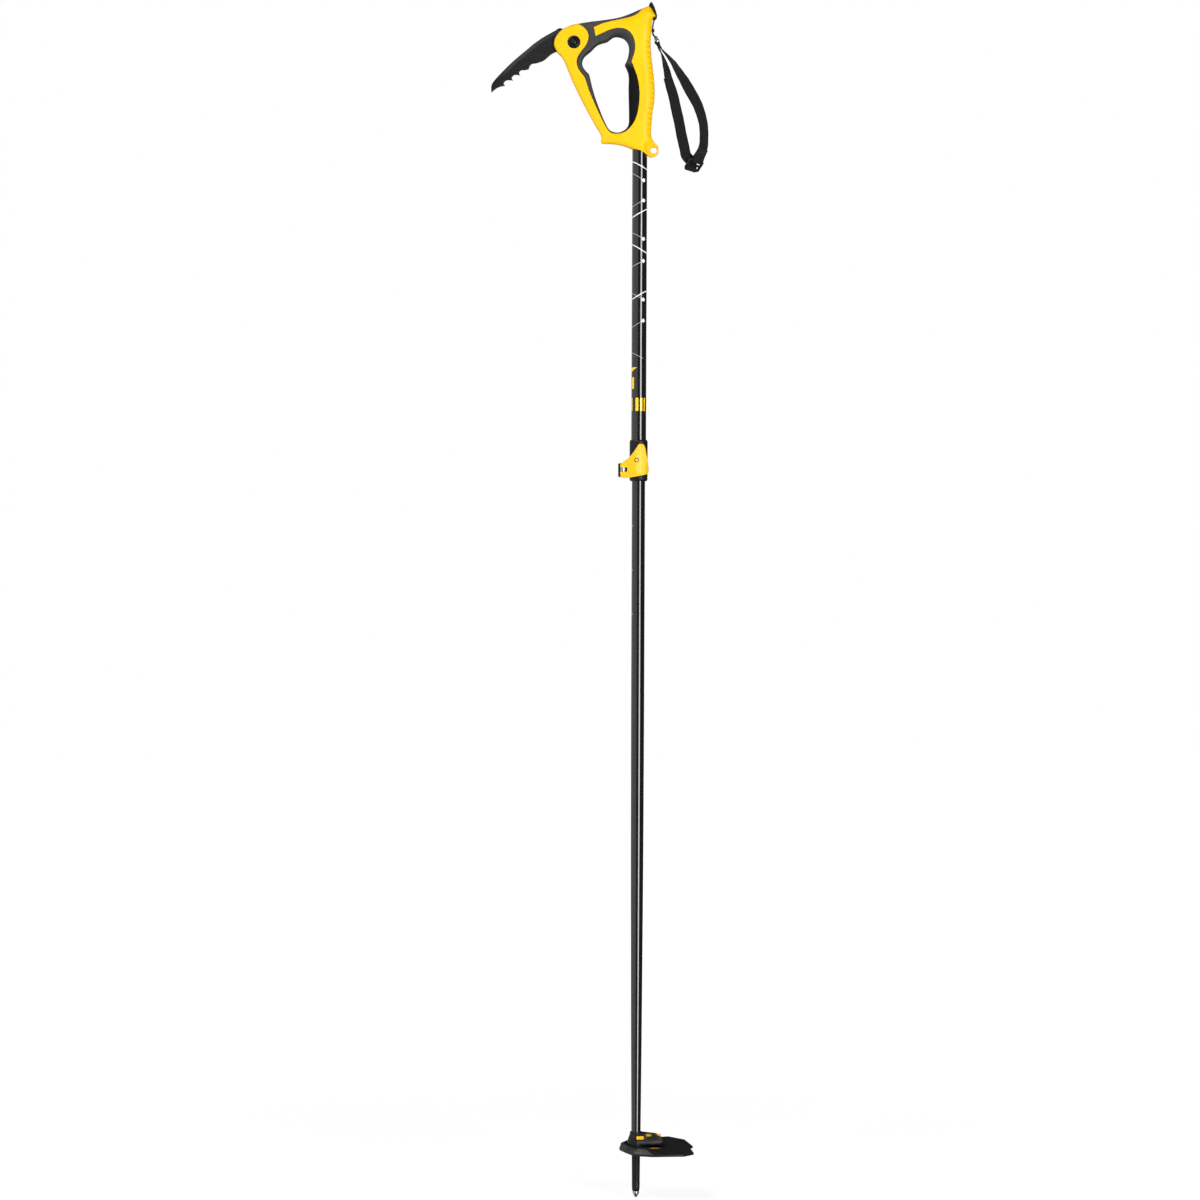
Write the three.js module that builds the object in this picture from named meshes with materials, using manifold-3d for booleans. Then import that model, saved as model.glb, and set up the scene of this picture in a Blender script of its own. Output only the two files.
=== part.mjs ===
// A two-section touring pole whose D-shaped handle carries a folding pick.
// Millimetres. +Z runs up the shaft, +X points from the shaft to the strap, and the pick points
// towards -X. The origin is the end of the steel tip, on the shaft's axis.
import * as THREE from "three";
import { mergeVertices } from "three/addons/utils/BufferGeometryUtils.js";
import Module from "manifold-3d";

const wasm = await Module();
wasm.setup();

// Driving dimensions
const GAP = 0.3; // clearance between pieces that touch
const HANDLE_BASE_Z = 1275; // where the shaft enters the handle
const UPPER_TUBE_RADIUS = 9;
const LOWER_TUBE_RADIUS = 8;
const TUBE_WALL = 0.7;
const UPPER_TUBE_BOTTOM = 891;
const UPPER_TUBE_TOP = 1423.7;
const LOWER_TUBE_TOP = 1000;
const LOWER_TUBE_BOTTOM = 70;
const ARM_HALF = 9.5; // half thickness of the handle's eye and front arm
const GRIP_HALF = 14; // half thickness of the handle's grip
const SKIN = 2.2; // thickness of the soft overmould over its core
const PIVOT = [-80.6, 130]; // pick pivot, in the handle's own x and z
const PICK_HALF = 2; // half thickness of the pick
const WASHER_THICKNESS = 0.6;
const SLOT_HALF = PICK_HALF + WASHER_THICKNESS + 2 * GAP; // half width of the pick's slot
const FOLD_DEGREES = 76; // from the working position to the pick lying in the arm
const COLLAR_RADIUS = 11;
const COLLAR_BOTTOM = 872;
const COLLAR_TOP = 922;
const LEVER_PIVOT = [-18.8, -10]; // lever pin, in plan
const LEVER_PIVOT_Z = 885.5;
const ROUND = 24; // sides of a round section
const BEYOND = 200; // further than any piece reaches, for cutting right through

// Materials
const paint = (color, roughness, metalness = 0) =>
  new THREE.MeshStandardMaterial({ color, roughness, metalness });
const yellowPlastic = () => paint(0xf5dc00, 0.4);
const blackRubber = () => paint(0x151517, 0.8);
const blackPlastic = () => paint(0x1b1b1d, 0.45);
const blackTube = () => paint(0x0e0e10, 0.2, 0.3);
const blackSteel = () => paint(0x26272a, 0.4, 0.8);
const brightSteel = () => paint(0xb9bcc0, 0.3, 1);
const blackFabric = () => paint(0x202124, 0.9);

// Solids
function toManifold(geometry) {
  const bare = geometry.clone();
  bare.deleteAttribute("normal");
  bare.deleteAttribute("uv");
  const merged = mergeVertices(bare, 1e-4);
  const vertProperties = new Float32Array(merged.attributes.position.array);
  const triVerts = new Uint32Array(merged.index.array);
  return new wasm.Manifold(new wasm.Mesh({ numProp: 3, vertProperties, triVerts }));
}

function toGeometry(solid) {
  const mesh = solid.getMesh();
  const geometry = new THREE.BufferGeometry();
  geometry.setAttribute("position", new THREE.BufferAttribute(mesh.vertProperties, 3));
  geometry.setIndex(new THREE.BufferAttribute(mesh.triVerts, 1));
  geometry.computeVertexNormals();
  return geometry;
}

function meshOf(name, shape, material) {
  const geometry = shape.isBufferGeometry ? shape : toGeometry(shape);
  const mesh = new THREE.Mesh(geometry, material);
  mesh.name = name;
  return mesh;
}

// Outlines are lists of [x, z]. A run is a smooth curve through its points, and runs meet in corners.
function run(points, stepsPerSpan = 2) {
  const curve = new THREE.SplineCurve(points.map(([x, z]) => new THREE.Vector2(x, z)));
  return curve.getPoints((points.length - 1) * stepsPerSpan).map((p) => [p.x, p.y]);
}

function outline(...runs) {
  const joined = runs.flat();
  return joined.filter(([x, z], i) => {
    const [nextX, nextZ] = joined[(i + 1) % joined.length];
    return Math.hypot(nextX - x, nextZ - z) > 0.05;
  });
}

function arc([cx, cz], radius, fromDegrees, toDegrees, steps) {
  return Array.from({ length: steps + 1 }, (_, i) => {
    const angle = THREE.MathUtils.degToRad(fromDegrees + ((toDegrees - fromDegrees) * i) / steps);
    return [cx + radius * Math.cos(angle), cz + radius * Math.sin(angle)];
  });
}

const signedArea = (points) =>
  points.reduce((sum, [x, z], i) => {
    const [nextX, nextZ] = points[(i + 1) % points.length];
    return sum + (x * nextZ - nextX * z) / 2;
  }, 0);

function distanceToOutline([x, z], points) {
  return Math.min(
    ...points.map(([ax, az], i) => {
      const [bx, bz] = points[(i + 1) % points.length];
      const lengthSquared = (bx - ax) ** 2 + (bz - az) ** 2;
      const along = ((x - ax) * (bx - ax) + (z - az) * (bz - az)) / lengthSquared;
      const t = THREE.MathUtils.clamp(along, 0, 1);
      return Math.hypot(x - ax - t * (bx - ax), z - az - t * (bz - az));
    }),
  );
}

// The outline grown outwards by a distance, or shrunk by a negative one.
function offset(points, distance) {
  const turn = Math.sign(signedArea(points));
  const moved = points.map(([x, z], i) => {
    const [px, pz] = points[(i + points.length - 1) % points.length];
    const [nx, nz] = points[(i + 1) % points.length];
    const length = Math.hypot(nx - px, nz - pz);
    return [x + (turn * distance * (nz - pz)) / length, z - (turn * distance * (nx - px)) / length];
  });
  return moved.filter((p) => distanceToOutline(p, points) > 0.97 * Math.abs(distance));
}

function toShape(points, holes = []) {
  const shape = new THREE.Shape(points.map(([x, z]) => new THREE.Vector2(x, z)));
  shape.holes = holes.map((hole) => new THREE.Path(hole.map(([x, z]) => new THREE.Vector2(x, z))));
  return shape;
}

// A plate in the XZ plane, centred on y = 0, with its rims chamfered by a bevel.
function plate(points, half, { holes = [], bevel = 0, y = 0 } = {}) {
  const geometry = new THREE.ExtrudeGeometry(toShape(points, holes), {
    depth: 2 * (half - bevel),
    bevelEnabled: bevel > 0,
    bevelThickness: bevel,
    bevelSize: bevel,
    bevelOffset: -bevel,
    bevelSegments: 2,
  });
  geometry.translate(0, 0, bevel - half);
  geometry.rotateX(Math.PI / 2);
  return toManifold(geometry).translate([0, y, 0]);
}

// A slab between two heights. Its outline is a list of [x, y].
function slab(points, bottom, top) {
  const depth = top - bottom;
  const geometry = new THREE.ExtrudeGeometry(toShape(points), { depth, bevelEnabled: false });
  geometry.translate(0, 0, bottom);
  return toManifold(geometry);
}

function box(low, high) {
  const size = high.map((value, i) => value - low[i]);
  const geometry = new THREE.BoxGeometry(...size);
  geometry.translate(...low.map((value, i) => value + size[i] / 2));
  return toManifold(geometry);
}

// A solid of revolution about Z from a closed list of [radius, z], which runs anticlockwise.
function turned(profile, sides = ROUND) {
  const closed = [...profile, profile[0]];
  const geometry = new THREE.LatheGeometry(closed.map(([r, z]) => new THREE.Vector2(r, z)), sides);
  geometry.rotateX(Math.PI / 2);
  return toManifold(geometry);
}

const rod = (radius, bottom, top, sides = ROUND) =>
  turned([[0, bottom], [radius, bottom], [radius, top], [0, top]], sides);

const ring = (inner, outer, bottom, top, sides = ROUND) =>
  turned([[inner, bottom], [outer, bottom], [outer, top], [inner, top]], sides);

// Turns a solid made along Z so that its top faces -Y, and moves it to a point in the XZ plane.
const facingFront = (solid, [x, z]) => solid.rotate([90, 0, 0]).translate([x, 0, z]);

function turnAbout([cx, cz], degrees, points) {
  const angle = THREE.MathUtils.degToRad(degrees);
  return points.map(([x, z]) => [
    cx + (x - cx) * Math.cos(angle) - (z - cz) * Math.sin(angle),
    cz + (x - cx) * Math.sin(angle) + (z - cz) * Math.cos(angle),
  ]);
}

// Handle outlines, in the handle's own x and z
const handleOutline = outline(
  run([[-44, 7.9], [-27, 6.9], [-8.8, 1.2], [3, -4.2], [9, -4.8], [13, 0], [14.1, 8], [13.8, 20],
    [14.7, 36.5], [17.2, 57.2], [17.9, 72], [15.3, 102.3], [12.9, 128], [13.5, 146.2],
    [14.6, 158], [13.6, 167], [8.5, 172.8], [1, 171.8], [-11.2, 166.1], [-23.4, 161.4],
    [-35.6, 158.8], [-59.9, 155.5], [-75.8, 152.9], [-84.3, 151], [-94, 146.5], [-100.5, 140],
    [-104.6, 132], [-104.1, 123.9], [-99.5, 117], [-93.1, 110.6]]),
  run([[-89.2, 100.5], [-78.2, 74.9], [-66, 51.2], [-53.8, 29.2], [-48.4, 20], [-46.6, 13]]),
);
const rearShoulder = [[6, 158], [14.8, 161], [17.9, 162.2], [18.2, 164], [16.3, 168], [13.2, 172.8],
  [10.8, 174.5], [6, 173]];
const SHOULDER_HALF = 7;
const lanyardTab = [[10, -8.4], [18.6, -7.3], [22.9, -3.7], [22.9, 3.7], [19.2, 7.9], [10, 10]];
const LANYARD_HOLE = [16.8, -0.4];
const LANYARD_HOLE_RADIUS = 4;
const TAB_HALF = 4;

const handOpening = outline(
  run([[-18.3, 103.3], [-14.4, 114.5], [-14, 126.7], [-20.9, 136.4], [-28.3, 138.2], [-36.8, 134.7],
    [-45.3, 130.6], [-55.1, 125.5], [-61.8, 118.8], [-68.5, 112.7], [-70.5, 104.7], [-66.9, 96.2],
    [-62.4, 91.8], [-59.6, 80.4], [-54.3, 62.7], [-47.7, 45.1], [-40.4, 28.5], [-36, 23],
    [-28.3, 20.7], [-18.5, 23.9], [-13.4, 33], [-13.6, 51.2], [-14, 75.5], [-14.6, 94],
    [-18.3, 103.3]]),
);

// Where the soft black overmould meets the rigid frame: round the opening, then the frame's tongue
const overmouldEdge = [
  run([[-75.8, 158], [-75.8, 152.9], [-67.8, 147.4], [-63.2, 139.5], [-63.2, 134.6], [-67.2, 124.8],
    [-73.3, 116.9], [-77.2, 107.2], [-74.8, 97.4], [-67.8, 87.9], [-62.4, 71.9], [-51.4, 46.9],
    [-42, 25], [-36, 19.5], [-28.3, 17.4], [-16.1, 21], [-8.6, 30], [-2.7, 45.7], [-0.7, 67.6],
    [-3.5, 87.7], [-9.6, 103.8], [-7.6, 115.1], [-6.2, 125], [-8.4, 135.8], [-18.5, 145.4],
    [-33.1, 146.4], [-47.7, 140.6], [-54.4, 137.3]]),
  run([[-56.5, 148.4], [-47.7, 152.2], [-33.1, 156], [-16.1, 159.2], [-2.7, 165.2], [2.6, 172],
    [4, 180]]),
];
const overmouldOutline = outline(...overmouldEdge, [[-30, 190]]);
// The pad above the frame's tongue
const topPad = outline(overmouldEdge[1], [[-30, 190], [-100, 170], [-62, 150]]);

// Pick outline in its working position, from the top of its hub round the tip and the teeth
const pickSpine = [[-95.2, 147.7], [-100.5, 147.6], [-106, 144], [-119.5, 137], [-139, 121],
  [-157.5, 105.2], [-172, 90.4], [-179.8, 81], [-181.3, 76]];
const pickTip = [-180.7, 69.5];
const pickTeeth = [[-178, 72.1], [-169.4, 77], [-164.6, 78], [-166, 80.4], [-162.8, 84.2],
  [-159.8, 84.7], [-154.9, 84.4], [-156.3, 86.8], [-153.3, 91], [-150, 91.2], [-146, 90.6],
  [-147.2, 92.8], [-144.5, 96.7], [-140.2, 96.8], [-135.9, 98], [-134.2, 102.2], [-130.6, 104.7]];
const pickBelly = [[-126.9, 105.2], [-118.3, 107.7], [-111, 114.1], [-107.4, 116.7], [-101.9, 119.4]];
const HUB_RADIUS = 13;
const pickOutline = outline(
  run(pickSpine, 1),
  [pickTip],
  pickTeeth,
  run(pickBelly, 1),
  arc(PIVOT, HUB_RADIUS, -95, 110, 12),
);

// The space that the pick sweeps in the handle: its hub, the mouth of the eye and the arm's slot.
// The slot's floor follows the folded pick's belly.
const SLOT_CLEARANCE = 0.5;
const slotFloor = turnAbout(PIVOT, FOLD_DEGREES, [[-182, 67.4], [-164.6, 77.2], [-118, 106.9],
  [-111, 113.2], [-107.2, 115.9], [-101.6, 118.6], [-79, 116.4]]);
const sweptOutline = [[-84.2, 142.4], [-94.7, 148.6], [-102, 149], [-115, 160], [-150, 130],
  [-90, 14], ...slotFloor];

// The handle's plan: the thick grip tapers into the thin arm and eye.
const gripWedge = (half) =>
  slab([[-50, 8], [-50, -8], [-17, -half], [30, -half], [30, half], [-17, half]], -BEYOND, BEYOND);

const ARM_CHAMFER = 3.5;
const GRIP_CHAMFER = 5;

function handleForm() {
  const thin = plate(handleOutline, ARM_HALF, { holes: [handOpening], bevel: ARM_CHAMFER });
  const thick = plate(handleOutline, GRIP_HALF, { holes: [handOpening], bevel: GRIP_CHAMFER });
  const grip = thick.intersect(gripWedge(GRIP_HALF));
  return thin.add(grip).add(plate(rearShoulder, SHOULDER_HALF));
}

// The rigid core under the overmould, in steps of [cover over the faces, cover over the opening]
const CORE_STEPS = [[5, SKIN], [2.5, 5.3]];
const ARM_COVER_SHARE = 0.7; // of the cover over the thick grip

function coreForm(clearance) {
  const steps = CORE_STEPS.map(([faceCover, rimCover]) => {
    const holes = [offset(handOpening, rimCover + clearance)];
    const inset = faceCover + clearance;
    const thick = plate(handleOutline, GRIP_HALF - inset, { holes });
    const thin = plate(handleOutline, ARM_HALF - ARM_COVER_SHARE * inset, { holes });
    return thin.add(thick.intersect(gripWedge(GRIP_HALF - inset)));
  });
  return steps[0].add(steps[1]);
}

const SOCKET_TOP = UPPER_TUBE_TOP - HANDLE_BASE_Z + 3.3;
const socket = rod(UPPER_TUBE_RADIUS + GAP, -BEYOND, SOCKET_TOP);
const pickSpace = plate(sweptOutline, SLOT_HALF).add(
  facingFront(rod(HUB_RADIUS + SLOT_CLEARANCE, -SLOT_HALF, SLOT_HALF), PIVOT),
);
const BARREL_RADIUS = 5;
const BEZEL_RADIUS = 7.7;
const SCREW_HEAD_RADIUS = 6.5;
const BEZEL_SEAT = 7.5; // depth of the bezel's and the screw head's seats, from the middle plane
const pivotHoles = facingFront(
  rod(BARREL_RADIUS + GAP, -BEYOND, BEYOND)
    .add(rod(BEZEL_RADIUS + GAP, BEZEL_SEAT, BEYOND))
    .add(rod(SCREW_HEAD_RADIUS + GAP, -BEYOND, -BEZEL_SEAT)),
  PIVOT,
);
const CORE_LAP = 2; // how far the core runs on beyond the overmould's edge

function gripFrame() {
  const tab = plate(lanyardTab, TAB_HALF);
  const lanyardHole = facingFront(rod(LANYARD_HOLE_RADIUS, -BEYOND, BEYOND), LANYARD_HOLE);
  const shell = handleForm().subtract(plate(offset(overmouldOutline, GAP), BEYOND));
  // The core runs on under the overmould, but stops short of the top pad and of the hand opening.
  const core = coreForm(GAP)
    .intersect(plate(offset(overmouldOutline, CORE_LAP), BEYOND))
    .subtract(plate(offset(topPad, GAP), BEYOND));
  return shell
    .add(tab)
    .add(core)
    .subtract(lanyardHole)
    .subtract(socket)
    .subtract(pickSpace)
    .subtract(pivotHoles)
    .subtract(clipScrewHole);
}

function gripOvermould() {
  const hollow = coreForm(0).subtract(plate(topPad, BEYOND));
  return handleForm()
    .intersect(plate(overmouldOutline, BEYOND))
    .subtract(hollow)
    .subtract(pickSpace);
}

// Pivot pieces, made along Z with their top towards the front
const SPRING_TURNS = 3.5;
const SPRING_RADIUS = 3.2;
const SPRING_WIRE_RADIUS = 0.4;
const SPRING_BOTTOM = -0.2;
const SPRING_TOP = 3.6;

class Coil extends THREE.Curve {
  getPoint(t, target = new THREE.Vector3()) {
    const angle = 2 * Math.PI * SPRING_TURNS * t;
    const height = SPRING_BOTTOM + (SPRING_TOP - SPRING_BOTTOM) * t;
    return target.set(SPRING_RADIUS * Math.cos(angle), SPRING_RADIUS * Math.sin(angle), height);
  }
}

function lockSpring() {
  const section = toShape(arc([0, 0], SPRING_WIRE_RADIUS, 0, 300, 5));
  const settings = { steps: 12 * SPRING_TURNS, extrudePath: new Coil() };
  return toManifold(new THREE.ExtrudeGeometry(section, settings));
}

const BARREL_HALF = BEZEL_SEAT - GAP;
const BUTTON_BORE_RADIUS = 4.4;
const BUTTON_BORE_BOTTOM = -1;
const SCREW_BORE_RADIUS = 2;
const SCREW_END = -3.2;
const barrel = rod(BARREL_RADIUS, -BARREL_HALF, BARREL_HALF)
  .subtract(rod(BUTTON_BORE_RADIUS, BUTTON_BORE_BOTTOM, BEYOND))
  .subtract(rod(SCREW_BORE_RADIUS, -BEYOND, SCREW_END + 0.7, 16));
const SCREW_HEAD_TOP = -10.4;
const HEX_RADIUS = 2.2;
const HEX_DEPTH = 1.4;
const axleScrew = rod(SCREW_HEAD_RADIUS, SCREW_HEAD_TOP, -BEZEL_SEAT)
  .add(rod(SCREW_BORE_RADIUS - GAP, -BEZEL_SEAT - 0.5, SCREW_END, 16))
  .subtract(rod(HEX_RADIUS, -BEYOND, SCREW_HEAD_TOP + HEX_DEPTH, 6));
const lockButton = turned([[0, 4.2], [4.1, 4.2], [4.1, 5.6], [3.7, 5.6], [3.7, 10], [2.9, 10.9],
  [1.6, 11.4], [0, 11.5]]);
const bezel = turned([[4, 7.8], [BEZEL_RADIUS, 7.8], [BEZEL_RADIUS, 9.9], [7, 10.6], [4.8, 10.6],
  [4, 10]]);
const WASHER_RADIUS = 11;
const washer = (bottom) =>
  ring(BARREL_RADIUS + GAP, WASHER_RADIUS, bottom, bottom + WASHER_THICKNESS);

// Clip over the rear shoulder, its screw, and the cord loop that carries the strap
const clipOutline = [[10.3, 175.4], [12.9, 180], [14.1, 180], [16.5, 175.4], [18.4, 170.6],
  [19.2, 166.9], [20.4, 163.9], [19.6, 160.8], [17.8, 158.9], [15.6, 158.9], [15.2, 160.6],
  [18.3, 161.8], [18.6, 164.1], [16.7, 168.2], [13.55, 173.1], [11.2, 174.8]];
const CLIP_HALF = 6;
const CLIP_SCREW_Z = 167.6;
const CLIP_SCREW_RADIUS = 1.2;
const CLIP_SCREW_END = 7.6;
const CLIP_HEAD_RADIUS = 2.3;
const CLIP_HEAD_SEAT = 18.1;
const CLIP_HEAD_TOP = 19.4;
const screwRod = (radius, from, to) =>
  rod(radius, from, to, 16).rotate([0, 90, 0]).translate([0, 0, CLIP_SCREW_Z]);
const clipScrewHole = screwRod(CLIP_SCREW_RADIUS + GAP, CLIP_SCREW_END - 2 * GAP, BEYOND);
const clipScrew = screwRod(CLIP_HEAD_RADIUS, CLIP_HEAD_SEAT, CLIP_HEAD_TOP).add(
  screwRod(CLIP_SCREW_RADIUS, CLIP_SCREW_END, CLIP_HEAD_SEAT + GAP),
);
const rearClip = plate(clipOutline, CLIP_HALF)
  .subtract(clipScrewHole)
  .subtract(screwRod(CLIP_HEAD_RADIUS + GAP, CLIP_HEAD_SEAT - GAP, BEYOND));

const LINK_EYE = [19.4, 136.5];
const LINK_BAR = [20.3, 132.1];
const CORD_RADIUS = 0.9;
const CORD_LEG_Y = 2.2;
const cordLeg = [[16.8, 158.4], [16, 155], [15.2, 150], [15.1, 143.5], [16.4, 140], [18.4, 137.6]];

function anchorCord() {
  const down = cordLeg.map(([x, z]) => new THREE.Vector3(x, -CORD_LEG_Y, z));
  const bottom = new THREE.Vector3(LINK_EYE[0], 0, LINK_EYE[1]);
  const up = down.map((p) => new THREE.Vector3(p.x, CORD_LEG_Y, p.z)).reverse();
  const path = new THREE.CatmullRomCurve3([...down, bottom, ...up], false, "centripetal");
  const shape = toShape(arc([0, 0], CORD_RADIUS, 0, 315, 7));
  return new THREE.ExtrudeGeometry(shape, { steps: 36, extrudePath: path });
}

const KEEPER = [[13.8, -5, 144.2], [17.3, 5, 147.2]];
const KEEPER_CORD_X = 15.1;

function cordKeeper() {
  const groove = rod(CORD_RADIUS + GAP + 0.1, 0, BEYOND, 12);
  return box(...KEEPER)
    .subtract(groove.translate([KEEPER_CORD_X, -CORD_LEG_Y, 0]))
    .subtract(groove.translate([KEEPER_CORD_X, CORD_LEG_Y, 0]));
}

const LINK_HALF = 0.8;
const LINK_HOLE_RADIUS = 1.4;
const LINK_EYE_RADIUS = 2.6;
const LINK_BAR_HALF = 8.4;

function strapLink() {
  const eye = ring(LINK_HOLE_RADIUS, LINK_EYE_RADIUS, -LINK_HALF, LINK_HALF, 20);
  const bar = rod(1, -LINK_BAR_HALF, LINK_BAR_HALF, 16);
  const neck = box([19.2, -LINK_HALF, 132], [20.6, LINK_HALF, 134.6]);
  return facingFront(eye, LINK_EYE).add(facingFront(bar, LINK_BAR)).add(neck);
}

// Strap: one length of webbing from the buckle up round the bar and back, and its free tail
const WEBBING_WIDTH = 15;
const WEBBING_THICKNESS = 1.5;
const rearBand = [[74.4, -4.6], [77.6, 3.5], [78.3, 14], [77.4, 30.6], [75, 42.1], [70.6, 54.3],
  [65, 65.5], [58.8, 76.2], [52.4, 87.4], [46, 98], [39.3, 108], [32.3, 116.6], [25.5, 123.9],
  [23.5, 127.8]];
const frontBand = [[21.7, 127], [23.6, 122.8], [27.9, 114], [31.5, 101.2], [34.6, 88.4],
  [38, 77.4], [41.7, 64], [45.4, 47.6], [49.1, 30.6], [52.4, 14.1], [55.6, 0.1], [56.6, -5]];
const barWrap = arc(LINK_BAR, 2.1, 25, 205, 6);
const TAIL_TOP = 93;
const REAR_TWIST = [50, 46, 44, 46, 50, 55, 60, 60, 50, 38, 26, 15, 6, 0];
const FRONT_TWIST = [0, 0, -12, -28, -38, -44, -48, -50, -50, -50, -50, -50];

// A band of webbing through [x, z] points. A twist turns its width from Y towards the loop's outside.
function webbing(points, twists, faceOffset = 0, stepsPerSpan = 2) {
  const centre = new THREE.CatmullRomCurve3(points.map(([x, z]) => new THREE.Vector3(x, 0, z)));
  const turns = new THREE.SplineCurve(twists.map((twist, i) => new THREE.Vector2(i, twist)));
  const steps = (points.length - 1) * stepsPerSpan;
  const geometry = new THREE.BoxGeometry(WEBBING_THICKNESS, WEBBING_WIDTH, 1, 1, 1, steps);
  const position = geometry.attributes.position;
  for (let i = 0; i < position.count; i += 1) {
    const t = position.getZ(i) + 0.5;
    const point = centre.getPoint(t);
    const along = centre.getTangent(t);
    const outward = new THREE.Vector3(along.z, 0, -along.x);
    const twist = THREE.MathUtils.degToRad(turns.getPoint(t).y);
    const sideways = new THREE.Vector3(0, Math.cos(twist), 0).addScaledVector(outward, Math.sin(twist));
    const face = outward.multiplyScalar(Math.cos(twist)).setY(-Math.sin(twist));
    point.addScaledVector(face, position.getX(i) + faceOffset);
    point.addScaledVector(sideways, position.getY(i));
    position.setXYZ(i, point.x, point.y, point.z);
  }
  return toManifold(geometry);
}

function strapWebbing() {
  const points = [...rearBand, ...barWrap, ...frontBand];
  const twists = [...REAR_TWIST, ...barWrap.map(() => 0), ...FRONT_TWIST];
  const linkNotch = box([15, -2 * LINK_HALF, 131.8], [24, 2 * LINK_HALF, 140]);
  return webbing(points, twists).subtract(linkNotch);
}

// The tail lies against the outside of the front band, from the buckle up to its cut end.
function strapTail() {
  const layer = webbing(frontBand, FRONT_TWIST, WEBBING_THICKNESS + 3 * GAP);
  return layer.intersect(box([0, -BEYOND, -BEYOND], [BEYOND, BEYOND, TAIL_TOP]));
}

const BUCKLE_CENTRE = [65.3, 0, -15.8];
const BUCKLE_HALF = 1.3;
const BUCKLE_SLOT_Z = 3.2; // from its middle to the middle of a slot
const BUCKLE_LEAN = 37;
const BUCKLE_YAW = 30;
const buckleOutline = [[-10, -5.5], [-8, -7.5], [8, -7.5], [10, -5.5], [10, 5.5], [8, 7.5],
  [-8, 7.5], [-10, 5.5]];

function strapBuckle() {
  const slot = box([-8, -5, -1.6], [8, 5, 1.6]);
  return plate(buckleOutline, BUCKLE_HALF)
    .subtract(slot.translate([0, 0, BUCKLE_SLOT_Z]))
    .subtract(slot.translate([0, 0, -BUCKLE_SLOT_Z]))
    .rotate([BUCKLE_LEAN, 0, 0])
    .rotate([0, 0, BUCKLE_YAW])
    .translate(BUCKLE_CENTRE);
}

// Shaft
const UPPER_BORE = UPPER_TUBE_RADIUS - TUBE_WALL;
const LOWER_WALL = 0.8;
// Outer radius of the lower tube at heights above the tip
const lowerTaper = [[5.55, LOWER_TUBE_BOTTOM], [5.92, 118], [6.5, 191], [6.98, 264], [7.37, 337],
  [7.68, 410], [7.84, 484], [7.93, 557], [LOWER_TUBE_RADIUS, 605]];
const lowerTube = turned([...lowerTaper, [LOWER_TUBE_RADIUS, LOWER_TUBE_TOP],
  [LOWER_TUBE_RADIUS - LOWER_WALL, LOWER_TUBE_TOP],
  ...lowerTaper.map(([r, z]) => [r - LOWER_WALL, z]).reverse()]);
const innerGuide = turned([[5.2, 975], [6.9, 975], [6.9, LOWER_TUBE_TOP + GAP],
  [LOWER_TUBE_RADIUS, LOWER_TUBE_TOP + GAP], [LOWER_TUBE_RADIUS, 1007], [5.2, 1007]]);
const upperTube = ring(UPPER_BORE, UPPER_TUBE_RADIUS, UPPER_TUBE_BOTTOM, UPPER_TUBE_TOP);
const PLUG_LENGTH = 30;
const PLUG_RIM = 2.3;
const plugSeat = UPPER_TUBE_TOP + GAP;
const topPlug = rod(UPPER_BORE - GAP, UPPER_TUBE_TOP - PLUG_LENGTH, plugSeat).add(
  rod(UPPER_TUBE_RADIUS, plugSeat, plugSeat + PLUG_RIM),
);
const FERRULE_BOTTOM = 8;
const ferrule = turned([[2.6, FERRULE_BOTTOM], [4.4, FERRULE_BOTTOM], [4.75, 12], [5.1, 45],
  [5.3, LOWER_TUBE_BOTTOM - GAP], [4.4, LOWER_TUBE_BOTTOM - GAP], [4.4, 92], [2.9, 92], [2.9, 27],
  [2.6, 27]]);
const steelTip = turned([[0, 0], [1.4, 0], [3.1, 3.6], [3.9, 4.6], [3.9, FERRULE_BOTTOM - GAP],
  [2.3, FERRULE_BOTTOM - GAP], [2.3, 25], [0, 25]]);

// Clamp
const EAR_FACE = 4.5; // half thickness of the pair of ears
const EAR_END_X = -24.8;
const EAR_BOTTOM = 877;
const EAR_TOP = 893.5;
const SLIT_HALF = 0.8;
const SLIT_END_X = -7.5;
const COLLAR_CHAMFER = 1.6;
const COLLAR_STEP = UPPER_TUBE_BOTTOM - GAP; // the upper tube's end rests on this step in the bore
const PAD_THICKNESS = 0.9;
const CAM_RADIUS = 4;
const BOLT_RADIUS = 2;
const BOLT_FRONT_Y = -9.6;
const BOLT_BACK_Y = 8;
const BOLT_EYE_RADIUS = 3.4;
const BOLT_EYE_HALF = 2.3;
const PIN_RADIUS = 1.5;
const PIN_BOTTOM = 876.4;
const PIN_TOP = 894.4;
const [pinX, pinY] = LEVER_PIVOT;
const boltRod = (radius, from, to) =>
  rod(radius, from, to, 20).rotate([-90, 0, 0]).translate([pinX, 0, LEVER_PIVOT_Z]);
const pinRod = (radius, bottom, top) => rod(radius, bottom, top, 20).translate([pinX, pinY, 0]);
const boltHole = boltRod(BOLT_RADIUS + GAP, -BEYOND, BEYOND);
const pinHole = pinRod(PIN_RADIUS + GAP, 0, HANDLE_BASE_Z);

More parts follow.
